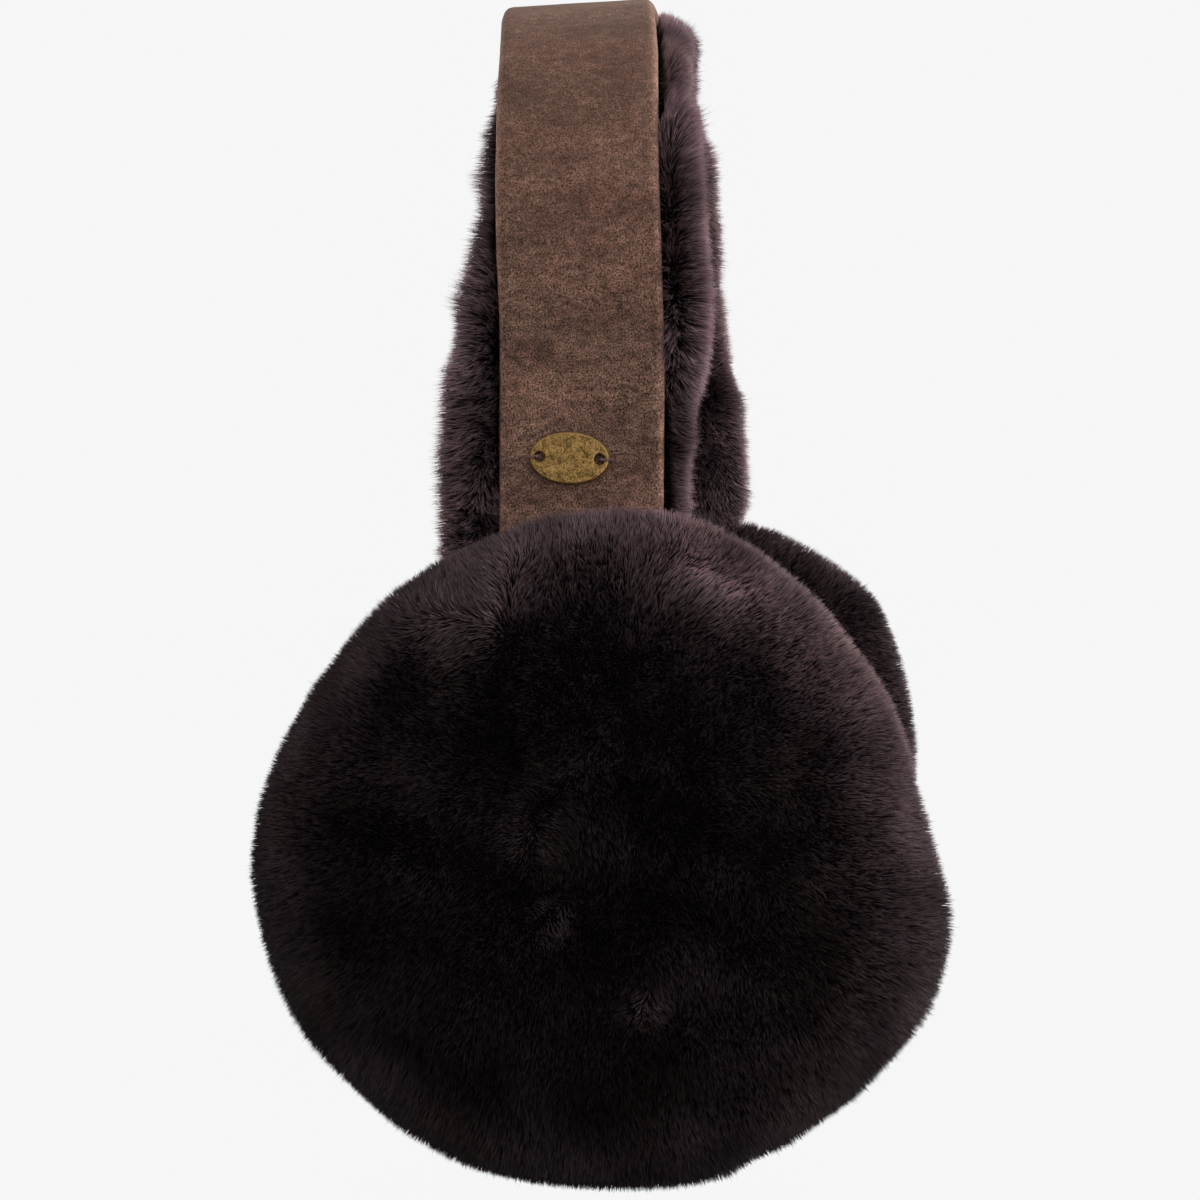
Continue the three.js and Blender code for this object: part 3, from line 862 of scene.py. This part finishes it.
def pad_nap(points, middle, side):
    """Which way the pile is brushed: a little outwards and down, parted along the left pad's partings."""
    back, up = points[:, 1] - middle.y, points[:, 2] - middle.z
    radius = np.hypot(back, up)
    outward = np.stack([np.zeros(len(points)), back, up], 1) / np.maximum(radius, 1e-6)[:, None]
    nap = outward * (0.06 * smooth_step(0.01, 0.05, radius))[:, None]
    nap += np.array([0, 0.08, -0.1])
    for across, off_line, near, lean in partings(points, middle) if side == "left" else ():
        strength = min(lean, MOST_LEAN) * near * np.tanh(off_line / PARTING_WIDTH)
        nap[:, 1:] += strength[:, None] * across
    return nap


def pad_painted_light(points, middle, side):
    """How bright the tips are painted, a painted light and shade: most at the top and back of the rim, where
    the lamps catch the pile, least low on the face, and a little painted sheen along each parting."""
    # The right pad's tips take one even painted light
    if side == "right":
        return np.full(len(points), 3.2)
    back = (points[:, 1] - middle.y) / PAD_RADIUS
    up = (points[:, 2] - middle.z) / PAD_RADIUS
    facing = 0.5 * back + 0.87 * up
    radius = np.hypot(back, up)
    # Painted light on the tips: brightest towards the upper back of the rim, where the lamps shine, darkest
    # low on the face
    painted_light = 0.32 + 0.63 * smooth_step(-0.9, 0, facing) + 2.2 * smooth_step(0.1, 1, facing)
    painted_light += 3 * np.maximum(facing, 0) ** 6 + 0.7 * smooth_step(0.35, 1, back)
    painted_light += 0.8 * smooth_step(0.92, 1.02, radius) * smooth_step(0.1, 0.7, facing)
    painted_light += 0.4 * smooth_step(0.66, 0.84, radius) * (1 - 0.7 * smooth_step(0.84, 0.95, radius))
    # A painted sheen along each parting
    for _, off_line, near, lean in partings(points, middle):
        painted_light *= 1 + 1.2 * abs(lean) * near * np.exp(-((off_line / SHEEN_LINE_WIDTH) ** 2))
    return painted_light


class EARMUFFS_OT_pads(bpy.types.Operator):
    """Two fur pads, each of two covers: a stuffed skin and its sheared pile"""

    bl_idname = "earmuffs.pads"
    bl_label = "Fur pads"

    def execute(self, context):
        fur = context.scene.earmuff_fur
        tree, underwool = fur_parts(fur)
        for number, (side, cover, count) in enumerate(PAD_PILE):
            mesh, node, direction, middle = pad_skin(side, cover, fur)
            points, stand = points_and_normals(mesh)
            near_seam = 1 - smooth_step(0, 4 * MM, np.abs(points[:, 0] - middle.x))
            stand[:, 0] *= 1 - near_seam
            stand = unit(stand)
            faces = [tuple(p.vertices) for p in mesh.polygons]
            skin = thick_skin(points, faces, f"{side}_pad_{cover}_skin", fur.leather, underwool)
            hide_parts(node)
            keep(mesh, "cover", np.ones(len(points)))
            keep(mesh, "pile", fur.pile * patchy(points, LOCKS, 0.3, number))
            keep(mesh, "stand", stand)
            nap = pad_nap(points, middle, side)
            # The two covers' fibres cross over their seam and hide it
            nap[:, 0] -= 0.55 * direction * near_seam
            keep(mesh, "nap", nap)
            # Painted light and shade on the tips, uneven over locks
            painted_light = pad_painted_light(points, middle, side) * patchy(points, LOCKS, 0.55, 5 + number)
            keep(mesh, "painted_light", painted_light)
            roots = placed("roots", mesh)
            grow_pile(roots, f"{side}_pad_{cover}_pile", count, fur, tree, number + 1)
        return {"FINISHED"}


# Lining: a padded skin under the strip, and its pile


def lining_reach(band, points, outward):
    """How far the solid's fur reaches from the strip at each station: in front, behind and inwards."""
    surface = solid_surface("headband_lining")
    far = 60 * MM  # rays from the sides start this far out
    halfway = 4.2 * MM  # and run about halfway down the fur
    reach = []
    for point, out in zip(points, outward):
        under = Vector(point - out * band.thickness)
        level = under - Vector(out) * halfway
        row = []
        for origin, way in ((level, Vector((0, -1, 0))), (level, Vector((0, 1, 0))),
                            (under, Vector(-out))):
            start = origin + way * (far if abs(way.y) else 0.5 * far)
            found = surface.ray_cast(start, -way)[0]
            row.append((found - origin).dot(way) if found else np.nan)
        reach.append(row)
    # Rays that miss take their neighbours' reach, and the whole is smoothed along the band
    reach = np.array(reach)
    for column in reach.T:
        known = ~np.isnan(column)
        column[~known] = np.interp(np.flatnonzero(~known), np.flatnonzero(known), column[known])
        padded = np.pad(column, 4, mode="edge")
        column[:] = np.convolve(padded, np.hanning(11)[1:-1] / np.hanning(11).sum(), "valid")
    return reach


def lining_skin(band, fur, stations, around):
    """The lining's skin, closed rings of the solid's form less the pile, and the strip's half width."""
    points, outward = band_line(band, stations)
    front, back, inward = lining_reach(band, points, outward).T
    low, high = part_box("headband_strip")
    half_strip = (high.y - low.y) / 2
    # Where it enters a pad it is as deep in front as just above
    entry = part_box("left_pad_outer_cover")[1].z + 8 * MM
    first, last = np.flatnonzero(points[:, 2] > entry)[[0, -1]]
    front[:first] = np.maximum(front[:first], front[first])
    front[last:] = np.maximum(front[last:], front[last])
    # The crown's far half is combed in behind
    far_crown = smooth_step(195 * MM, 210 * MM, points[:, 2]) * smooth_step(0, 15 * MM, -points[:, 0])
    back -= 2.4 * MM * far_crown
    # The section is a rounded oblong, close under the strip and fuller beside it, less so at the crown
    turn = 2 * math.pi * np.arange(around) / around
    across = np.sign(np.cos(turn)) * np.abs(np.cos(turn)) ** 0.65
    lift = np.abs(np.sin(turn)) ** 0.65
    thick = np.maximum(inward - fur.lining_pile, 0.4 * inward)
    upper, lower = 0.6 * thick, 0.4 * thick
    grid = np.zeros((stations, around, 3))
    for i in range(stations):
        side = np.where(across > 0, back[i], front[i])
        y = across * np.maximum(side - 0.72 * fur.lining_pile, 6 * MM)
        gap = (0.4 + 0.6 * smooth_step(9 * MM, 15 * MM, np.abs(y))) * MM
        gap = np.minimum(gap, 0.5 * upper[i])
        top = -band.thickness - upper[i] + (upper[i] - gap) * lift
        beside = smooth_step(half_strip, half_strip + 1.5 * MM, np.abs(y))
        top += (1.4 * MM - 3 * MM * max(outward[i][2] - 0.3, 0)) * beside * lift
        bottom = -band.thickness - upper[i] - lower[i] * lift
        out = np.where(np.sin(turn) >= 0, top, bottom)
        grid[i] = points[i] + outward[i] * out[:, None]
        grid[i, :, 1] += y
    rings = [i * around for i in range(stations)]
    faces = [f[::-1] for f in grid_faces(rings, around)]
    flat = grid.reshape(-1, 3)
    ends = np.array([grid[0].mean(0), grid[-1].mean(0)])
    count = len(flat)
    faces += [(i, (i + 1) % around, count) for i in range(around)]
    faces += [(rings[-1] + (i + 1) % around, rings[-1] + i, count + 1) for i in range(around)]
    return subdivided(np.vstack([flat, ends]), faces), half_strip


class EARMUFFS_OT_lining(bpy.types.Operator):
    """The fur lining under the strip, its pile in one piece for each arm"""

    bl_idname = "earmuffs.lining"
    bl_label = "Fur lining"

    def execute(self, context):
        band, fur = context.scene.earmuff_band, context.scene.earmuff_fur
        tree, underwool = fur_parts(fur)
        mesh, half_strip = lining_skin(band, fur, 120, 28)
        points, stand = points_and_normals(mesh)
        skin = mesh_object("headband_lining_skin", points, [tuple(p.vertices) for p in mesh.polygons])
        skin.data.materials.append(underwool)
        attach(skin, "root")
        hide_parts("headband_lining")
        # Nearest station of the band gives each point its outward direction
        line, outward = band_line(band, 400)
        flat = points[:, None, [0, 2]] - line[None, :, [0, 2]]
        nearest = np.argmin((flat**2).sum(-1), axis=1)
        out = outward[nearest]
        from_middle = points[:, 1] - line[nearest, 1]
        rise = (stand * out).sum(1)
        sideways = np.stack([np.zeros(len(points)), np.sign(from_middle), np.zeros(len(points))], 1)
        # Beside the strip the pile stands up towards it, and under the strip it lies flat
        on_top = smooth_step(0.1, 0.7, rise)
        stand = unit(stand - sideways * (0.12 * on_top)[:, None])
        under = 1 - smooth_step(half_strip - 0.4 * MM, half_strip + 0.4 * MM, np.abs(from_middle))
        rise = (stand * out).sum(1)
        stand = unit(stand - out * (np.maximum(rise, 0) * under)[:, None])
        # No fibre grows under the strip or deep inside the pads
        pad_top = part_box("left_pad_outer_cover")[1].z
        cover = 1 - under * on_top
        cover *= smooth_step(pad_top - 14 * MM, pad_top - 8 * MM, points[:, 2])
        nap = np.tile([0.0, 0.0, -0.22], (len(points), 1)) + sideways * 0.06
        for number, (side, sign, count) in enumerate(LINING_PILE):
            here = mesh.copy()
            keep(here, "cover", cover * (sign * points[:, 0] > 0))
            longer = 1 + 0.7 * on_top * (1 - under) * (1 - smooth_step(185 * MM, 205 * MM, points[:, 2]))
            keep(here, "pile", fur.lining_pile * longer * patchy(points, LOCKS, 0.5, 3))
            keep(here, "stand", stand)
            keep(here, "nap", nap)
            # The lining's tips take a stronger painted light than the pads', uneven over locks
            keep(here, "painted_light", 5.2 * patchy(points, LOCKS, 0.7, 4))
            grow_pile(placed("roots", here), f"headband_lining_pile_{side}", count, fur, tree, 11 + number)
        return {"FINISHED"}


# Badge: an oval plate with two thread holes, sewn to the left arm


def badge_plane(badge):
    """Matrix from the badge's own plane, length along x and face along z, to its place."""
    low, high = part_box("badge")
    turn = math.radians(badge.turn)
    along = Vector((0, math.cos(turn), math.sin(turn)))
    upward = Vector((0, -math.sin(turn), math.cos(turn)))
    matrix = Matrix((along, upward, Vector((1, 0, 0)))).transposed().to_4x4()
    place = (low + high) / 2 + Vector((0, -badge.slide, -badge.sag))
    return Matrix.Translation(place) @ matrix


def brass_material(badge):
    """Antique brass, cast and tumbled: a dark film in the hollows, rubbed bright along the rim."""
    material, tree, shader = new_material("antique_brass")
    plane = badge_plane(badge)
    here = add(tree, "ShaderNodeTexCoord").outputs["Object"]
    away = add(tree, "ShaderNodeVectorMath", {0: here, 1: plane.translation}, operation="SUBTRACT")
    squared = 0.0
    for column, half in ((0, badge.length / 2), (1, badge.height / 2)):
        axis = plane.col[column].to_3d() / half
        dot = add(tree, "ShaderNodeVectorMath", {0: away, 1: axis}, operation="DOT_PRODUCT").outputs["Value"]
        square = add(tree, "ShaderNodeMath", {0: dot, 1: 2.0}, operation="POWER")
        squared = add(tree, "ShaderNodeMath", {0: squared, 1: square}, operation="ADD")
    rim = add(tree, "ShaderNodeMapRange", {"Value": squared, "From Min": 0.86, "From Max": 0.97})
    # Film in spots of 0.35 mm and fainter clouds of 1.5 mm
    spots = add(tree, "ShaderNodeTexNoise",
                {"Vector": here, "Scale": 1 / (0.35 * MM), "Detail": 4.0, "Roughness": 0.65})
    clouds = add(tree, "ShaderNodeTexNoise", {"Vector": here, "Scale": 1 / (1.5 * MM), "Detail": 2.0})
    both = add(tree, "ShaderNodeMath", {0: clouds, 1: 0.6, 2: spots}, operation="MULTIPLY_ADD")
    film = add(tree, "ShaderNodeMapRange",
               {"Value": both, "From Min": 0.62, "From Max": 0.92, "To Min": 0.8, "To Max": 0.05})
    bare = add(tree, "ShaderNodeMath", {0: film, 1: rim}, operation="SUBTRACT", use_clamp=True)
    mixed = add(tree, "ShaderNodeMix",
                {"Factor": bare, "A": (*badge.brass, 1), "B": (*badge.patina, 1)},
                data_type="RGBA")
    rough = add(tree, "ShaderNodeMapRange", {"Value": film, "To Min": 0.34, "To Max": 0.62})
    bump = add(tree, "ShaderNodeBump", {"Height": both, "Strength": 0.8, "Distance": 0.15 * MM})
    wire(tree, shader, {
        "Base Color": mixed.outputs["Result"],
        "Roughness": rough,
        "Normal": bump,
        "Metallic": 1.0,
    })
    return material


def thread_material():
    """Waxed sewing thread, two plies twisted: dark brown with a faint sheen."""
    material, tree, shader = new_material("waxed_thread")
    here = add(tree, "ShaderNodeTexCoord").outputs["Object"]
    # Fibres 0.05 mm, drawn at 0.15 mm
    fibres = add(tree, "ShaderNodeTexNoise", {"Vector": here, "Scale": 1 / (0.15 * MM), "Detail": 2.0})
    mixed = add(tree, "ShaderNodeMix",
                {"Factor": fibres, "A": (*linear("#54382f"), 1),
                 "B": (*linear("#96705f"), 1)}, data_type="RGBA")
    wire(tree, shader, {"Base Color": mixed.outputs["Result"], "Roughness": 0.6, "Sheen Weight": 0.2})
    return material


def stitch_tree(material):
    """Lays two twisted plies along each stitch."""
    tree = new_tree("twisted_stitch", [
        ("Ply", "NodeSocketFloat", 0.34 * MM),
        ("Pitch", "NodeSocketFloat", 1.4 * MM),
    ])
    given = add(tree, "NodeGroupInput").outputs
    fine = add(tree, "GeometryNodeResampleCurve",
               {"Curve": given["Geometry"], "Length": 0.12 * MM}, mode="LENGTH")
    run = add(tree, "GeometryNodeSplineParameter").outputs["Length"]
    turns = add(tree, "ShaderNodeMath", {0: run, 1: given["Pitch"]}, operation="DIVIDE")
    angle = add(tree, "ShaderNodeMath", {0: turns, 1: 2 * math.pi}, operation="MULTIPLY")
    twisted = add(tree, "GeometryNodeSetCurveTilt", {"Curve": fine, "Tilt": angle})
    radius = add(tree, "ShaderNodeMath", {0: given["Ply"], 1: 0.5}, operation="MULTIPLY")
    ply = add(tree, "GeometryNodeCurvePrimitiveCircle", {"Resolution": 10, "Radius": radius}, mode="RADIUS")
    both = add(tree, "GeometryNodeJoinGeometry")
    for sign in (-0.92, 0.92):
        shift = add(tree, "ShaderNodeMath", {0: radius, 1: sign}, operation="MULTIPLY")
        beside = add(tree, "ShaderNodeCombineXYZ", {"X": shift})
        moved = add(tree, "GeometryNodeTransform", {"Geometry": ply, "Translation": beside})
        wire(tree, both, {"Geometry": moved})
    swept = add(tree, "GeometryNodeCurveToMesh",
                {"Curve": twisted, "Profile Curve": both, "Fill Caps": True})
    smooth = add(tree, "GeometryNodeSetShadeSmooth", {"Geometry": swept})
    close_tree(tree, smooth, material)
    return tree


class EARMUFFS_OT_badge(bpy.types.Operator):
    """The oval brass badge and the two stitches that hold it"""

    bl_idname = "earmuffs.badge"
    bl_label = "Badge"

    def execute(self, context):
        badge = context.scene.earmuff_badge
        low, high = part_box("badge")
        thickness = high.x - low.x
        plane = badge_plane(badge)
        outline = bpy.data.curves.new("badge_outline", "CURVE")
        outline.dimensions = "2D"
        outline.fill_mode = "BOTH"
        outline.extrude = thickness / 2 - badge.bevel
        outline.bevel_depth = badge.bevel
        outline.bevel_resolution = 3
        rounds = [(0, badge.length / 2 - badge.bevel, badge.height / 2 - badge.bevel, 96)]
        for end in (-1, 1):
            size = badge.hole + badge.bevel
            rounds.append((end * badge.hole_spacing / 2, size, size, 32))
        for middle, across, upward, steps in rounds:
            turn = 2 * math.pi * np.arange(steps) / steps
            spline = outline.splines.new("POLY")
            spline.points.add(steps - 1)
            zero, one = np.zeros(steps), np.ones(steps)
            ring = np.stack([middle + across * np.cos(turn), upward * np.sin(turn), zero, one], 1)
            spline.points.foreach_set("co", ring.ravel())
            spline.use_cyclic_u = True
        mesh = plain_mesh(placed("badge_outline", outline))
        mesh.transform(plane)
        mesh.materials.append(brass_material(badge))
        plate = placed("badge_plate", mesh)
        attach(plate, "root")
        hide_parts("badge")
        # Each stitch comes up through a hole, crosses the plate's end and goes down beside it
        top = thickness / 2 + 0.75 * badge.thread
        below = -thickness / 2 - 0.6 * MM
        hole, end = badge.hole_spacing / 2, badge.length / 2
        curve = bpy.data.curves.new("stitches", "CURVE")
        curve.dimensions = "3D"
        for sign in (-1, 1):
            route = [
                (hole + 0.1 * MM, below), (hole + 0.15 * MM, 0), (hole + 0.5 * MM, 0.85 * top),
                (hole + 1.0 * MM, top), (end - 0.3 * MM, top), (end + 0.2 * MM, 0.6 * top),
                (end + 0.34 * MM, -0.3 * top), (end + 0.36 * MM, below),
            ]
            spline = curve.splines.new("NURBS")
            spline.points.add(len(route) - 1)
            for point, (x, z) in zip(spline.points, route):
                point.co = (*(plane @ Vector((sign * x, 0, z))), 1)
            spline.use_endpoint_u = True
            spline.order_u = 3
        tree = stitch_tree(thread_material())
        stitches = grown(placed("stitches", curve), tree, {"Ply": badge.thread}, "badge_stitches")
        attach(stitches, "root")
        return {"FINISHED"}


# Stage: floor, light and camera


def camera_axes(stage):
    """The camera's right, up and forward, from its angles."""
    azimuth, pitch, roll = (math.radians(v) for v in (stage.azimuth, stage.pitch, stage.roll))
    forward = Vector((
        -math.sin(azimuth) * math.cos(pitch), math.cos(azimuth) * math.cos(pitch), -math.sin(pitch)
    ))
    level = Vector((math.cos(azimuth), math.sin(azimuth), 0))
    upright = level.cross(forward)
    right = level * math.cos(roll) - upright * math.sin(roll)
    up = level * math.sin(roll) + upright * math.cos(roll)
    return right, up, forward


def ground_material(stage):
    """Matt paper sweep: even for the camera, with only a breath of contact shadow."""
    material, tree, shader = new_material("white_paper")
    wire(tree, shader, {
        "Base Color": (*linear("#6e6e6e"), 1),
        "Roughness": 1.0,
        "Specular IOR Level": 0.0,
    })
    # The camera sees almost only the ground's own glow, so that the sweep has no edge
    glow = add(tree, "ShaderNodeEmission", {"Color": (*stage.ground, 1), "Strength": 1.013})
    seen = add(tree, "ShaderNodeLightPath").outputs["Is Camera Ray"]
    part = add(tree, "ShaderNodeMath", {0: seen, 1: 0.985}, operation="MULTIPLY")
    mixed = add(tree, "ShaderNodeMixShader", {0: part, 1: shader, 2: glow})
    wire(tree, tree.nodes["Material Output"], {"Surface": mixed})
    return material


def make_world(stage):
    """An even pale background whose light is stronger from above and behind than from the camera."""
    world = bpy.data.worlds.new("studio")
    bpy.context.scene.world = world
    world.use_nodes = True
    tree = world.node_tree
    tree.nodes.clear()
    towards = add(tree, "ShaderNodeTexCoord").outputs["Generated"]
    parts = add(tree, "ShaderNodeSeparateXYZ", {0: towards}).outputs
    behind = add(tree, "ShaderNodeMapRange",
                 {"Value": parts["X"], "From Min": 0.9, "From Max": -0.6, "To Min": 0.15, "To Max": 1.0})
    above = add(tree, "ShaderNodeMapRange",
                {"Value": parts["Z"], "From Min": -0.3, "From Max": 0.9, "To Min": 0.6, "To Max": 1.5})
    strength = add(tree, "ShaderNodeMath", {0: behind, 1: above}, operation="MULTIPLY")
    light = add(tree, "ShaderNodeBackground", {"Color": (1, 1, 1, 1), "Strength": strength})
    seen = add(tree, "ShaderNodeBackground", {"Color": (*stage.ground, 1), "Strength": 1.0})
    chosen = add(tree, "ShaderNodeMixShader",
                 {0: add(tree, "ShaderNodeLightPath").outputs["Is Camera Ray"], 1: light, 2: seen})
    add(tree, "ShaderNodeOutputWorld", {"Surface": chosen})


# Each lamp's name, place, size and power
LAMPS = [
    ("key", (-0.35, 0.65, 0.6), 0.5, 8.0),
    ("rim", (-0.5, -0.6, 0.45), 0.6, 2.0),
    ("fill", (0.9, 0.3, 0.25), 0.6, 3.0),
]


def light_from(name, place, size, power):
    """A square lamp that shines on the middle of the earmuffs."""
    data = bpy.data.lights.new(name, "AREA")
    data.size = size
    data.energy = power
    lamp = placed(name, data)
    lamp.location = place
    middle = Vector((0, 0, 0.1))
    lamp.rotation_euler = (middle - Vector(place)).to_track_quat("-Z", "Y").to_euler()


class EARMUFFS_OT_stage(bpy.types.Operator):
    """Camera, soft studio light and a plain pale floor"""

    bl_idname = "earmuffs.stage"
    bl_label = "Stage"

    def execute(self, context):
        stage = context.scene.earmuff_stage
        right, up, forward = camera_axes(stage)
        data = bpy.data.cameras.new("camera")
        data.sensor_width = 36
        data.lens = stage.lens
        data.clip_start = 0.02
        camera = placed("camera", data)
        turn = Matrix((right, up, -forward)).transposed().to_4x4()
        camera.matrix_world = Matrix.Translation(stage.place) @ turn
        context.scene.camera = camera
        half = 4.0  # of the floor's side, in metres
        corners = [(-half, -half, 0), (half, -half, 0), (half, half, 0), (-half, half, 0)]
        floor = mesh_object("floor", corners, [(0, 1, 2, 3)], smooth=False)
        floor.data.materials.append(ground_material(stage))
        make_world(stage)
        for lamp in LAMPS:
            light_from(*lamp)
        context.scene.view_settings.view_transform = "Standard"
        return {"FINISHED"}


class EARMUFFS_PT_panel(bpy.types.Panel):
    """Lists the pieces and their sizes"""

    bl_idname = "EARMUFFS_PT_panel"
    bl_label = "Fur earmuffs"
    bl_space_type = "VIEW_3D"
    bl_region_type = "UI"
    bl_category = "Earmuffs"

    def draw(self, context):
        for operator in OPERATORS:
            self.layout.operator(operator.bl_idname)
        for name, _, group in GROUPS:
            box = self.layout.box()
            for field in group.__annotations__:
                box.prop(getattr(context.scene, name), field)


GROUPS = [
    ("earmuff_band", "Band", EarmuffBand),
    ("earmuff_fur", "Fur", EarmuffFur),
    ("earmuff_badge", "Badge", EarmuffBadge),
    ("earmuff_stage", "Stage", EarmuffStage),
]
OPERATORS = [
    EARMUFFS_OT_stage, EARMUFFS_OT_strip, EARMUFFS_OT_pads, EARMUFFS_OT_lining, EARMUFFS_OT_badge,
]


def register():
    for cls in (*[group for _, _, group in GROUPS], *OPERATORS, EARMUFFS_PT_panel):
        bpy.utils.register_class(cls)
    for name, label, group in GROUPS:
        setattr(bpy.types.Scene, name, bpy.props.PointerProperty(type=group, name=label))


def unregister():
    for name, _, _ in GROUPS:
        delattr(bpy.types.Scene, name)
    for cls in (EARMUFFS_PT_panel, *OPERATORS, *[group for _, _, group in GROUPS]):
        bpy.utils.unregister_class(cls)


def main():
    register()
    bpy.ops.earmuffs.stage()
    bpy.ops.earmuffs.strip()
    bpy.ops.earmuffs.pads()
    bpy.ops.earmuffs.lining()
    bpy.ops.earmuffs.badge()


if __name__ == "__main__":
    main()
